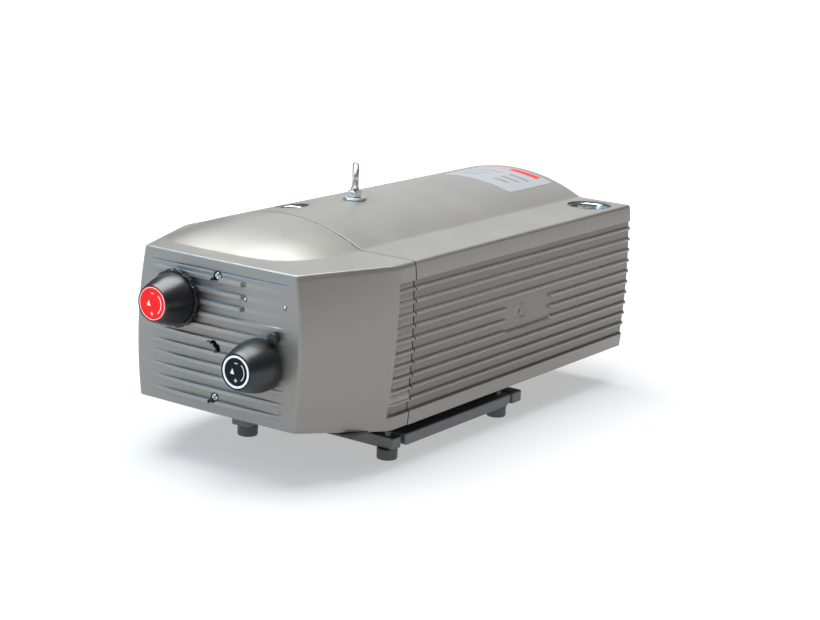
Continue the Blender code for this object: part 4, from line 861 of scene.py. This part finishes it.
def build_material(finish):
    """Colour, gloss and grain of one finish from noise on object coordinates."""
    kind, colour_name, roughness, metallic, size, depth, spread = FINISHES[finish]
    colour = tuple(getattr(bpy.context.scene.pump_colours, colour_name))
    graph = Graph(finish)
    shader = graph.shader
    shader.inputs["Metallic"].default_value = metallic
    stretch = {"brushed": (1.0, 1.0, 14.0), "turned": (1.0, 1.0, 30.0), "wound": (1.0, 9.0, 1.0)}.get(kind)
    grain = graph.noise(size, 4.0, stretch)
    cloud = graph.noise(14.0, 3.0)
    share = graph.spread(cloud, 0.3, 0.7, 0.0, 1.0)
    tone = graph.mix(share, shade_of(colour, 1 - spread), shade_of(colour, 1 + spread))
    fleck = graph.spread(grain, 0.42, 0.62, 0.0, 1.0)
    tone = graph.mix(graph.math("MULTIPLY", fleck, spread * 2.2), tone, shade_of(colour, 1.5))
    if kind == "hammered" and finish == "cast_paint":
        # Painted light and shade: the per-point value lightens the cast paint towards a painted highlight,
        # and values below zero turn it near black as painted shade in gaps, holes and inner skins.
        painted_light_share = graph.node("ShaderNodeAttribute", attribute_name="relief").outputs["Fac"]
        tone = graph.mix(painted_light_share, tone, shade_of(colour, 2.2))
        painted_shade_share = graph.spread(painted_light_share, -0.6, -0.1, 1.0, 0.0)
        tone = graph.mix(painted_shade_share, tone, (0.004, 0.004, 0.004, 1.0))
        cells = graph.node("ShaderNodeTexVoronoi", feature="SMOOTH_F1")
        cells.inputs["Scale"].default_value = 420.0
        graph.feed(cells.inputs["Vector"], graph.place)
        height = graph.math("ADD", graph.math("MULTIPLY", cells.outputs["Distance"], 0.6), grain)
        graph.bump(height, depth, 0.0006)
        shader.inputs["Coat Weight"].default_value = 0.12
        shader.inputs["Coat Roughness"].default_value = 0.3
    else:
        graph.bump(grain, depth, 0.0006)
    if kind == "moulded":
        dull = finish in ("dull_black", "red_plastic")
        shader.inputs["Specular IOR Level"].default_value = 0.15 if dull else 0.5
    if kind == "fibrous":
        shader.inputs["Sheen Weight"].default_value = 0.4
    if finish == "label":
        tone = label_print(graph, tone)
    graph.feed(shader.inputs["Base Color"], tone)
    gloss = graph.spread(cloud, 0.25, 0.75, roughness * 0.88, roughness * 1.14)
    graph.feed(shader.inputs["Roughness"], gloss)
    return graph.material


def label_print(graph, tone):
    """Blank printed fields on the rating label: a red band along its rear edge and grey bars."""
    parts = graph.node("ShaderNodeSeparateXYZ")
    graph.feed(parts.inputs[0], graph.place)
    x, y = parts.outputs[0], parts.outputs[1]

    def field(x_low, x_high, y_low, y_high):
        """A rectangle: 1 inside, 0 outside."""
        inside = graph.math("GREATER_THAN", x, x_low)
        tests = ((x, "LESS_THAN", x_high), (y, "GREATER_THAN", y_low), (y, "LESS_THAN", y_high))
        for axis, operation, limit in tests:
            inside = graph.math("MULTIPLY", inside, graph.math(operation, axis, limit))
        return inside

    red = tuple(bpy.context.scene.pump_colours.red)
    grey = (0.13, 0.13, 0.14, 1.0)
    rear = LABEL_Y[1]
    tone = graph.mix(field(-0.058, 0.026, rear - 0.018, rear - 0.004), tone, shade_of(red, 0.45))
    tone = graph.mix(field(-0.056, -0.020, rear - 0.016, rear - 0.006), tone, (0.24, 0.22, 0.22, 1.0))
    for row in range(3):
        start = rear - 0.045 - 0.020 * row
        tone = graph.mix(field(-0.058, -0.016 - 0.005 * row, start, start + 0.005), tone, grey)
        tone = graph.mix(field(-0.004, 0.028 - 0.004 * row, start, start + 0.008), tone, grey)
    return tone


# ---------------------------------------------------------------- sizes and colours
def colour_property(name, description, value):
    """A linear colour that the user can change."""
    return bpy.props.FloatVectorProperty(
        name=name, description=description, default=value, size=4, subtype="COLOR", min=0.0, max=1.0
    )


class PumpRibs(bpy.types.PropertyGroup):
    """Cooling ribs cast along the sides of the covers."""

    first_height: bpy.props.FloatProperty(
        name="Lowest Rib", description="Height of the lowest rib above the cover's rim",
        default=0.0322, unit="LENGTH")
    pitch: bpy.props.FloatProperty(
        name="Rib Pitch", description="Distance from one rib to the next", default=0.0150, unit="LENGTH")
    depth: bpy.props.FloatProperty(
        name="Rib Depth", description="How far the ribs stand out", default=0.0040, unit="LENGTH")
    thickness: bpy.props.FloatProperty(
        name="Rib Thickness", description="Thickness of a half-round rib", default=0.0052, unit="LENGTH")


class PumpColours(bpy.types.PropertyGroup):
    """Base colours of the finishes."""

    paint: colour_property("Cast Paint", "Metallic paint of the covers", (0.155, 0.147, 0.134, 1.0))
    bars: colour_property("Bar Paint", "Grey paint of the cross bars and rails", (0.18, 0.188, 0.19, 1.0))
    # Near-black of the webs under the covers; the same colour fills the cup behind the access hole as
    # painted shade.
    web: colour_property("Web Paint", "Dark paint under the covers", (0.016, 0.016, 0.018, 1.0))
    black: colour_property("Black Plastic", "Knobs", (0.007, 0.007, 0.008, 1.0))
    red: colour_property("Red Plastic", "Disc of the vacuum knob", (0.86, 0.014, 0.010, 1.0))
    print_white: colour_property("White Print", "Marks on the knobs", (0.78, 0.78, 0.78, 1.0))
    zinc: colour_property("Zinc", "Lifting eye and screws", (0.52, 0.52, 0.50, 1.0))
    steel: colour_property("Bright Steel", "Port sockets", (0.62, 0.62, 0.60, 1.0))
    spring: colour_property("Spring Steel", "Valve springs", (0.38, 0.38, 0.37, 1.0))
    iron: colour_property("Cast Iron", "Cylinder and shields", (0.13, 0.13, 0.13, 1.0))
    aluminium: colour_property("Aluminium", "Inner castings", (0.50, 0.51, 0.52, 1.0))
    carbon: colour_property("Carbon", "Vanes", (0.028, 0.028, 0.030, 1.0))
    copper: colour_property("Copper", "Motor windings", (0.58, 0.22, 0.10, 1.0))
    rubber: colour_property("Foot Rubber", "Feet", (0.125, 0.132, 0.138, 1.0))
    felt: colour_property("Filter Felt", "Filter cartridge", (0.60, 0.57, 0.48, 1.0))
    sheet: colour_property("Sheet Steel", "Trays and cans", (0.055, 0.056, 0.060, 1.0))
    brass: colour_property("Brass", "Valve parts", (0.60, 0.42, 0.16, 1.0))
    label: colour_property("Label", "Rating label", (0.20, 0.205, 0.21, 1.0))
    floor: colour_property("Floor", "Studio floor", (0.26, 0.26, 0.26, 1.0))


class PumpStudio(bpy.types.PropertyGroup):
    """Studio lights."""

    sky: bpy.props.FloatProperty(name="Surround", description="Strength of the even surround", default=0.07)
    table: bpy.props.FloatProperty(
        name="Light Table", description="Strength of the glow of the far floor", default=1.0)
    table_near: bpy.props.FloatProperty(
        name="Light Table Near", description="Strength of the glow of the floor at the pump", default=0.46)
    top: bpy.props.FloatProperty(
        name="Top Light", description="Power of the overhead softbox", default=230.0, unit="POWER")
    cheek: bpy.props.FloatProperty(
        name="Cheek Light", description="Power of the softbox at the right front",
        default=26.0, unit="POWER")
    back: bpy.props.FloatProperty(
        name="Back Light", description="Power of the softbox behind", default=12.0, unit="POWER")
    front: bpy.props.FloatProperty(
        name="Front Light", description="Power of the softbox at the left front",
        default=52.0, unit="POWER")


# ---------------------------------------------------------------- operators
class PUMP_OT_cover(bpy.types.Operator):
    """Build the main cover with ribs, bands, barrel roof and rear wall"""

    bl_idname = "pump.cover"
    bl_label = "Main Cover"

    def execute(self, context):
        place_mesh("cover_skin", build_cover_mesh(), "cast_paint", replaces=["main_cover"], angle=32)
        return {"FINISHED"}


class PUMP_OT_hood(bpy.types.Operator):
    """Build the front hood with its ribbed face and domed roof"""

    bl_idname = "pump.hood"
    bl_label = "Front Hood"

    def execute(self, context):
        place_mesh("hood_skin", build_hood_mesh(), "cast_paint", replaces=["front_hood"], angle=32)
        return {"FINISHED"}


class PUMP_OT_screws(bpy.types.Operator):
    """Build the hood screws, the plate pins and the side plug"""

    bl_idname = "pump.screws"
    bl_label = "Screws and Pins"

    def execute(self, context):
        for side, height in zip(("upper", "lower"), SCREWS_Z):
            node = f"hood_screw_{side}"
            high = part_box(node)[1]
            front = PARTING_Y - HOOD_DEPTH - FLOOR_BOW - 0.0004
            head = [(0, front + 0.0024), (0.0018, front + 0.0024)]
            head += [(0.0020, front + 0.0003), (0.0030, front)]
            body = [(0.0042, front + 0.0007), (0.0047, front + 0.0020)]
            body += [(0.0047, front + 0.006), (0.0025, front + 0.006)]
            shank = threaded(0.0025, 0.0004, 0.0012, front + 0.0062, high.y)
            profile = np.concatenate([head, body, shank, [(0, high.y)]])
            screw = turned(profile, (0.0, 0.0, RIM_Z + height), "Y", 48)
            make_piece(f"screw_{side}", [screw], "bright_steel", replaces=[node])
        pins = []
        for x in PIN_X:
            angle = np.linspace(0, math.pi / 2, 7)
            ball = np.stack([0.0017 * np.sin(angle), -0.0013 * np.cos(angle)], axis=-1)
            profile = np.concatenate([ball, [(0.0017, 0.002), (0, 0.002)]])
            front = PARTING_Y - HOOD_DEPTH - FLOOR_BOW * (1 - (x / HALF_TOP) ** 2)
            pins.append(turned(profile, (x, front, RIM_Z + PIN_Z), "Y", 24))
        make_piece("plate_pins", pins, "bright_steel")
        # A near-black cup right behind the access hole: painted shade that makes the hole read dark.
        back = PARTING_Y - HOOD_DEPTH - FLOOR_BOW + 0.0042
        cup = [(0, back + 0.004), (0.0135, back + 0.004), (0.0135, back), (0.012, back)]
        cup = np.array([*cup, (0.011, back + 0.002), (0, back + 0.002)])
        cup = turned(cup, (-0.001, 0.0, RIM_Z + ACCESS_Z - 0.001), "Y", 40)
        make_piece("access_cup", [cup], "web_paint")
        y, height = PLUG_AT
        depth = bpy.context.scene.pump_ribs.depth
        angle = np.linspace(0, math.pi / 2, 8)
        dome = np.stack([0.0042 * np.sin(angle), 0.0008 * np.cos(angle)], axis=-1)
        profile = np.concatenate([dome, [(0.0042, -0.003), (0, -0.003)]])
        wall = cover_half(height) - depth - 0.0009
        plug = turned(profile, (wall, PARTING_Y + y, RIM_Z + height), "X", 40)
        make_piece("side_plug", [plug], "cast_paint")
        return {"FINISHED"}


KNOB_SHAPE = (
    (0.975, 0.0), (1.0, 0.03), (1.012, 0.18), (0.985, 0.36), (0.915, 0.56), (0.815, 0.76), (0.735, 0.93))
KNOB_RADIUS = 0.031
NOSE_RADIUS = 0.0212
DISC_RADIUS = 0.0200


class PUMP_OT_knobs(bpy.types.Operator):
    """Build both valve knobs with their discs and marks, the toothed lock ring and the stop lug"""

    bl_idname = "pump.knobs"
    bl_label = "Valve Knobs"

    def execute(self, context):
        for name, (x, height) in KNOBS.items():
            self.build_knob(name, x, RIM_Z + height)
        self.build_lock_ring()
        self.build_stop_lug()
        return {"FINISHED"}

    def build_knob(self, name, x, z):
        """Bell: radius falls from the skirt to the nose; the front has a shallow seat for the disc."""
        low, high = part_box(f"{name}_knob")
        front, rear = low.y, high.y
        shape = np.array(KNOB_SHAPE)
        bell = np.stack([shape[:, 0] * KNOB_RADIUS, rear + (front - rear) * shape[:, 1]], axis=-1)
        corners = [(0.006, rear), *bell, (NOSE_RADIUS, front), (DISC_RADIUS + 0.0002, front + 0.0001)]
        rounding = [0, 0.0008, 0.002, 1, 1, 1, 1, 0.003, 0.0007, 0.0004]
        seat = [(DISC_RADIUS + 0.0002, front + 0.0014), (0.006, front + 0.0014)]
        profile = soften(np.array([*corners, *seat]), [*rounding, 0, 0], 6)
        bore = [(0.0, front + 0.0014), (0.0, rear)]
        profile = np.concatenate([[(0.0, rear)], profile, [bore[0]]])
        knob = turned(profile, (x, 0.0, z), "Y", 128)
        body = f"{name}_knob_unit"
        make_piece(f"{name}_knob_bell", [knob], "black_plastic", body, replaces=[f"{name}_knob"], angle=50)
        finish = "red_plastic" if name == "vacuum" else "dull_black"
        face = front + 0.0004
        disc = [(0, face + 0.0009), (DISC_RADIUS, face + 0.0009), (DISC_RADIUS, face + 0.0003)]
        disc = np.array([*disc, (DISC_RADIUS - 0.0003, face), (0, face)])
        plate = turned(disc, (x, 0.0, z), "Y", 96)
        make_piece(f"{name}_disc_plate", [plate], finish, body, replaces=[f"{name}_knob_disc"])
        centre = (x, face, z)
        lift = 0.00012
        if name == "vacuum":
            strokes = [(arc_points(centre, 0.0188, 0, 360, 97), 0.0007)]
            strokes.append((arc_points(centre, 0.0135, -50, 50, 25), 0.0009))
        else:
            strokes = [(arc_points(centre, 0.0176, 0, 360, 97), 0.0026)]
            strokes.append((arc_points(centre, 0.0118, -50, 50, 25), 0.0009))
        reach = 0.0120 if name == "vacuum" else 0.0100
        plus = np.array([x, face, z - reach])
        strokes.append((np.linspace(plus - [0.0022, 0, 0], plus + [0.0022, 0, 0], 3), 0.0009))
        strokes.append((np.linspace(plus - [0, 0, 0.0022], plus + [0, 0, 0.0022], 3), 0.0009))
        minus = np.array([x, face, z + reach])
        strokes.append((np.linspace(minus - [0.0022, 0, 0], minus + [0.0022, 0, 0], 3), 0.0009))
        marks = [ribbon(path, width, lift) for path, width in strokes]
        marks.append(self.pointer(centre))
        make_piece(f"{name}_marks", marks, "white_print", body)

    def pointer(self, centre):
        """A small triangle that points up, left of the middle of the disc."""
        x, y, z = centre
        outline = np.array([(x - 0.0080, z - 0.0030), (x - 0.0022, z - 0.0030), (x - 0.0051, z + 0.0034)])
        return prism(soften(outline, 0.0004, 4, closed=True), y - 0.00012, y + 0.0002, 0.00005, "Y")

    def build_lock_ring(self):
        """Ring behind the vacuum knob: its outer radius rises to a flat tooth fourteen times round."""
        low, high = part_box("vacuum_lock_ring")
        x, z = KNOBS["vacuum"][0], RIM_Z + KNOBS["vacuum"][1]
        inner = KNOB_RADIUS * 1.012 + 0.0006
        angle = np.linspace(0, 2 * math.pi, 14 * 24, endpoint=False)
        tooth = ease(np.cos(14 * angle), -0.55, 0.25)
        outer = inner + 0.0014 + 0.0014 * tooth
        front, rear = low.y, high.y
        radii = [0 * outer + inner, 0 * outer + inner, outer - 0.0004, outer, outer, outer - 0.0004]
        depths = [rear, front, front, front + 0.0004, rear - 0.0004, rear]
        radius = np.stack(radii)
        y = np.broadcast_to(np.array(depths)[:, None], radius.shape)
        points = np.stack([x + radius * np.cos(angle), y, z + radius * np.sin(angle)], axis=-1)
        shape = grid_shape(points, wrap_rows=True, wrap_columns=True)
        make_piece("lock_ring_teeth", [shape], "black_plastic", replaces=["vacuum_lock_ring"])

    def build_stop_lug(self):
        """Round post beside the pressure knob: straight side, round edge, shallow crown."""
        low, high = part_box("pressure_knob_stop")
        radius = (high.x - low.x) / 2
        middle = (low + high) / 2
        corners = [(0, high.y), (radius, high.y), (radius, low.y + 0.0004), (0, low.y)]
        profile = soften(np.array(corners), [0, 0.0004, 0.0018, 0], 7)
        lug = turned(profile, (middle.x, 0.0, middle.z), "Y", 64)
        make_piece("stop_lug", [lug], "black_plastic", replaces=["pressure_knob_stop"], angle=45)


class PUMP_OT_ports(bpy.types.Operator):
    """Build the threaded suction and exhaust sockets"""

    bl_idname = "pump.ports"
    bl_label = "Port Sockets"

    def execute(self, context):
        for node, bore in (("suction_port_socket", 0.0235), ("exhaust_port_socket", 0.0145)):
            low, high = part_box(node)
            middle = (low + high) / 2
            outer = port_radius(node)
            thread = threaded(bore + 0.0013, 0.0013, 0.0023, low.z, high.z - 0.0120)
            corners = [(bore, high.z - 0.0115), (bore + 0.0012, high.z - 0.0080)]
            corners += [(bore + 0.0024, high.z - 0.0006), (bore + 0.0034, high.z)]
            corners += [(outer, high.z), (outer, low.z)]
            lip = soften(np.array(corners), [0, 0.002, 0.0006, 0.0004, 0.0010, 0], 6)
            profile = np.concatenate([thread, lip])
            socket = turned(profile, (middle.x, middle.y, 0.0), "Z", 96, closed=True)
            make_piece(node + "_thread", [socket], "bright_steel", replaces=[node], angle=40)
        return {"FINISHED"}


EYE_TURN = math.radians(36.5)


class PUMP_OT_lifting_eye(bpy.types.Operator):
    """Build the lifting eye with its shank, nut and washers"""

    bl_idname = "pump.lifting_eye"
    bl_label = "Lifting Eye"

    def execute(self, context):
        low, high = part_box("eyebolt")
        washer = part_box("eyebolt_washer")
        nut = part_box("eyebolt_nut")
        x, y = (washer[0].x + washer[1].x) / 2, (washer[0].y + washer[1].y) / 2
        ring, wire = 0.0135, 0.0043
        centre = high.z - ring - wire
        shank = threaded(0.0050, 0.0005, 0.0015, low.z, nut[1].z + 0.0006)
        neck = [(0.0050, nut[1].z + 0.0012), (0.0056, nut[1].z + 0.0022), (0.0038, centre - ring + 0.001)]
        neck = soften(np.array(neck), [0, 0.001, 0], 5)
        profile = np.concatenate([[(0, low.z)], shank, neck, [(0, centre - ring + 0.001)]])
        stem = turned(profile, (x, y, 0.0), "Z", 48)
        mesh = make_mesh("eye", [hoop((x, y, centre), ring, wire, EYE_TURN)])
        weld(mesh)
        place_mesh("eye_ring", mesh, "zinc_steel", replaces=["eyebolt"], angle=45)
        make_piece("eye_shank", [stem], "zinc_steel", angle=45)
        hexagon = hexagon_nut((x, y), 0.017, nut[0].z, nut[1].z, EYE_TURN, 0.0052)
        make_piece("eye_nut", [hexagon], "zinc_steel", replaces=["eyebolt_nut"], angle=28)
        height = washer[1].z - washer[0].z
        discs = []
        for start, end, radius in ((0.0, 0.53, 0.0150), (0.56, 1.0, 0.0146)):
            base, top = washer[0].z + height * start, washer[0].z + height * end
            corners = [(0.0052, base), (radius, base), (radius, top), (0.0052, top)]
            profile = soften(np.array(corners), [0.0002, 0.0005, 0.0005, 0.0002], 4, closed=True)
            discs.append(turned(profile, (x, y, 0.0), "Z", 72, closed=True))
        make_piece("eye_washers", discs, "zinc_steel", replaces=["eyebolt_washer"], angle=50)
        return {"FINISHED"}


FEET = ("front_right", "front_left", "rear_right", "rear_left")


class PUMP_OT_base(bpy.types.Operator):
    """Build the cross bars, rails, tray and rubber feet"""

    bl_idname = "pump.base"
    bl_label = "Base and Feet"

    def execute(self, context):
        ear_top = RIM_Z - 0.0245
        for side in ("front", "rear"):
            low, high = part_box(f"base_{side}_bar")
            y_low, y_high = (PARTING_Y + 0.009, PARTING_Y + 0.0265) if side == "front" else (low.y, high.y)
            corners = [(y_low, low.z), (y_high, low.z), (y_high, ear_top), (y_low, ear_top)]
            ears = prism(soften(np.array(corners), 0.0022, 5, closed=True), low.x, high.x, 0.0022)
            shapes = [ears]
            if side == "front":
                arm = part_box("foot_front_left")
                x = (arm[0].x + arm[1].x) / 2
                arm_end = (x + 0.0135, y_low + 0.001, ear_top)
                shapes.append(rounded_box((x - 0.0135, low.y, low.z), arm_end, 0.002))
            make_piece(f"{side}_bar_ears", shapes, "bar_paint", replaces=[f"base_{side}_bar"])
            web = rounded_box((-0.104, y_low, ear_top - 0.002), (0.104, y_high, high.z), 0.0015)
            make_piece(f"{side}_bar_web", [web], "web_paint")
        for side in ("left", "right"):
            low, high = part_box(f"base_rail_{side}")
            slant = 0.007
            corners = [(low.y + 0.003, low.z), (high.y - slant, low.z), (high.y, low.z + slant)]
            corners += [(high.y, ear_top), (low.y, ear_top), (low.y, low.z + 0.003)]
            outline = soften(np.array(corners), 0.0020, 5, closed=True)
            rail = prism(outline, low.x, high.x, 0.0018)
            make_piece(f"rail_{side}_ear", [rail], "bar_paint", replaces=[f"base_rail_{side}"])
            sign = 1 if side == "right" else -1
            inner, outer = sorted((sign * 0.108, sign * 0.116))
            web_end = (outer, high.y - 0.002, high.z)
            web = rounded_box((inner, low.y + 0.002, ear_top - 0.002), web_end, 0.0015)
            make_piece(f"rail_{side}_web", [web], "web_paint")
        low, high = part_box("bottom_tray")
        tray = rounded_box(low, high, 0.0014)
        make_piece("tray_plate", [tray], "sheet_steel", replaces=["bottom_tray"])
        nuts = []
        for place in FEET:
            low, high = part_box(f"foot_{place}")
            middle = (low + high) / 2
            top = RIM_Z - 0.0403
            corners = [(0, low.z), (0.0122, low.z), (0.0128, low.z + 0.0016), (0.0128, top), (0.0, top)]
            profile = soften(np.array(corners), [0, 0.0010, 0.0014, 0.0010, 0], 5)
            foot = turned(profile, (middle.x, middle.y, 0.0), "Z", 64)
            make_piece(f"rubber_{place}", [foot], "foot_rubber", replaces=[f"foot_{place}"], angle=50)
            thread = threaded(0.0040, 0.0004, 0.00125, top - 0.003, high.z)
            stud = np.concatenate([[(0, top - 0.003)], thread, [(0, high.z)]])
            nuts.append(turned(stud, (middle.x, middle.y, 0.0), "Z", 32))
        make_piece("foot_studs", nuts, "zinc_steel")
        return {"FINISHED"}


LABEL_X = (-0.068, 0.043)
LABEL_Y = (PARTING_Y + 0.394, PARTING_Y + 0.508)


class PUMP_OT_label(bpy.types.Operator):
    """Lay the blank rating label on the barrel near the rear"""

    bl_idname = "pump.label"
    bl_label = "Rating Label"

    def execute(self, context):
        (left, right), (front, rear) = LABEL_X, LABEL_Y
        outline = np.array([(left, front), (right, front), (right, rear), (left, rear)])
        sides = []
        for start, end in zip(outline, np.roll(outline, -1, axis=0)):
            sides.append(np.linspace(start, end, 24, endpoint=False))
        loop = np.concatenate(sides)
        middle = loop.mean(axis=0)
        half = (outline[2] - outline[0]) / 2
        corner = 0.006
        offset = loop - middle
        core = np.clip(offset, -(half - corner), half - corner)
        out = offset - core
        length = np.linalg.norm(out, axis=1)[:, None]
        loop = middle + core + out / np.maximum(length, corner) * corner
        share = np.linspace(0, 1, 13)[:, None, None]
        rings = middle + (loop - middle) * share
        top = CROWN_Z - DOME_RISE + barrel_height(rings[..., 0])
        upper = np.concatenate([rings, (top + 0.0003)[..., None]], axis=-1)
        under = np.concatenate([rings, (top - 0.0004)[..., None]], axis=-1)
        shape = grid_shape(np.concatenate([under, upper[::-1]]), wrap_columns=True)
        make_piece("rating_label", [shape], "label")
        return {"FINISHED"}


class PUMP_OT_inner_parts(bpy.types.Operator):
    """Give every inner part its finish"""

    bl_idname = "pump.inner_parts"
    bl_label = "Inner Parts"

    def execute(self, context):
        for part in NODES.values():
            for slot in part.material_slots:
                finish = slot.material.name.split(".")[0]
                if finish not in FINISHES:
                    raise ValueError(f"{part.name} has no finish: {finish}")
                slot.material = material(finish)
        return {"FINISHED"}


GLOW_RADII = (0.42, 1.3)   # the floor glows as strongly as far away beyond the second one


class PUMP_OT_studio(bpy.types.Operator):
    """Make the floor, the lights and the camera"""

    bl_idname = "pump.studio"
    bl_label = "Studio"

    def execute(self, context):
        studio = context.scene.pump_studio
        radius = np.concatenate([[0.0], np.geomspace(0.5, 40.0, 24)])
        floor_shape = turned(np.stack([radius, np.zeros(len(radius))], axis=-1), (0, 0, 0), "Z", 64)
        mesh = make_mesh("studio_floor", [floor_shape])
        weld(mesh, outward=False)
        floor = bpy.data.objects.new("studio_floor", mesh)
        context.scene.collection.objects.link(floor)
        graph = Graph("studio_floor")
        colour = tuple(context.scene.pump_colours.floor)
        cloud = graph.noise(3.0, 2.0)
        tone = graph.mix(cloud, shade_of(colour, 0.99), shade_of(colour, 1.01))
        graph.feed(graph.shader.inputs["Base Color"], tone)
        graph.shader.inputs["Roughness"].default_value = 0.9
        graph.shader.inputs["Emission Color"].default_value = (1.0, 1.0, 1.0, 1.0)
        distance = graph.node("ShaderNodeVectorMath", operation="LENGTH")
        graph.feed(distance.inputs[0], graph.place)
        glow = graph.spread(distance.outputs["Value"], *GLOW_RADII, studio.table_near, studio.table)
        graph.feed(graph.shader.inputs["Emission Strength"], glow)
        graph.shader.inputs["Specular IOR Level"].default_value = 0.1
        mesh.materials.append(graph.material)
        world = bpy.data.worlds.new("surround")
        world.use_nodes = True
        background = world.node_tree.nodes["Background"]
        background.inputs["Color"].default_value = (1.0, 1.0, 1.0, 1.0)
        background.inputs["Strength"].default_value = studio.sky
        context.scene.world = world
        context.scene.view_settings.view_transform = "Standard"
        self.softbox("top_light", (-0.3, -0.1, 2.6), (0.0, 0.0, 0.1), 2.6, studio.top, (0.95, 0.985, 1.0))
        self.softbox("front_light", (-1.9, -2.6, 1.5), (0.0, 0.0, 0.15), 1.6, studio.front,
                     (0.26, 0.60, 1.0))
        self.softbox("cheek_light", (1.3, -2.3, 2.6), (0.1, -0.2, 0.2), 1.2, studio.cheek,
                     (0.80, 0.92, 1.0))
        self.softbox("back_light", (-1.7, 3.7, 1.5), (0.0, 0.0, 0.2), 2.4, studio.back,
                     (0.96, 0.98, 1.0))
        self.camera()
        return {"FINISHED"}

    def softbox(self, name, place, target, size, power, colour=(1.0, 1.0, 1.0)):
        """A square area light that faces a point."""
        lamp = bpy.data.lights.new(name, "AREA")
        lamp.color = colour
        lamp.size = size
        lamp.energy = power
        light = bpy.data.objects.new(name, lamp)
        light.location = place
        direction = type(light.location)(target) - light.location
        light.rotation_mode = "QUATERNION"
        light.rotation_quaternion = direction.to_track_quat("-Z", "Y")
        bpy.context.scene.collection.objects.link(light)

    def camera(self):
        """Camera in front and to the right, a little above, rolled slightly."""
        azimuth, elevation, roll = (math.radians(value) for value in (34.1, 13.71, 2.84))
        level = math.cos(elevation)
        back = np.array([math.sin(azimuth) * level, -math.cos(azimuth) * level, math.sin(elevation)])
        right = np.cross((0.0, 0.0, 1.0), back)
        right /= np.linalg.norm(right)
        up = np.cross(back, right)
        camera_x = math.cos(roll) * right + math.sin(roll) * up
        camera_y = -math.sin(roll) * right + math.cos(roll) * up
        lens = bpy.data.cameras.new("camera")
        lens.lens = 87.15
        lens.sensor_width = 36.0
        lens.clip_end = 100.0
        lens.dof.use_dof = False
        camera = bpy.data.objects.new("camera", lens)
        matrix = np.eye(4)
        matrix[:3, 0], matrix[:3, 1], matrix[:3, 2] = camera_x, camera_y, back
        matrix[:3, 3] = (1.42581, -2.02956, 0.74691)
        bpy.context.scene.collection.objects.link(camera)
        camera.matrix_world = [list(row) for row in matrix.T]
        bpy.context.scene.camera = camera


OPERATORS = (
    PUMP_OT_cover, PUMP_OT_hood, PUMP_OT_screws, PUMP_OT_knobs, PUMP_OT_ports, PUMP_OT_lifting_eye,
    PUMP_OT_base, PUMP_OT_label, PUMP_OT_inner_parts, PUMP_OT_studio,
)
GROUPS = {"pump_ribs": PumpRibs, "pump_colours": PumpColours, "pump_studio": PumpStudio}


class PUMP_PT_panel(bpy.types.Panel):
    """Steps that build the pump's looks"""

    bl_label = "Vacuum Pump"
    bl_idname = "PUMP_PT_panel"
    bl_space_type = "VIEW_3D"
    bl_region_type = "UI"
    bl_category = "Pump"

    def draw(self, context):
        layout = self.layout
        for step in OPERATORS:
            layout.operator(step.bl_idname)
        for group, kind in GROUPS.items():
            box = layout.box()
            for name in kind.__annotations__:
                box.prop(getattr(context.scene, group), name)


def register():
    for kind in (*GROUPS.values(), *OPERATORS, PUMP_PT_panel):
        bpy.utils.register_class(kind)
    for name, kind in GROUPS.items():
        setattr(bpy.types.Scene, name, bpy.props.PointerProperty(type=kind))


def unregister():
    for name in GROUPS:
        delattr(bpy.types.Scene, name)
    for kind in reversed((*GROUPS.values(), *OPERATORS, PUMP_PT_panel)):
        bpy.utils.unregister_class(kind)


def main():
    """Build everything in order."""
    register()
    for step in OPERATORS:
        group, name = step.bl_idname.split(".")
        getattr(getattr(bpy.ops, group), name)()


if __name__ == "__main__":
    main()
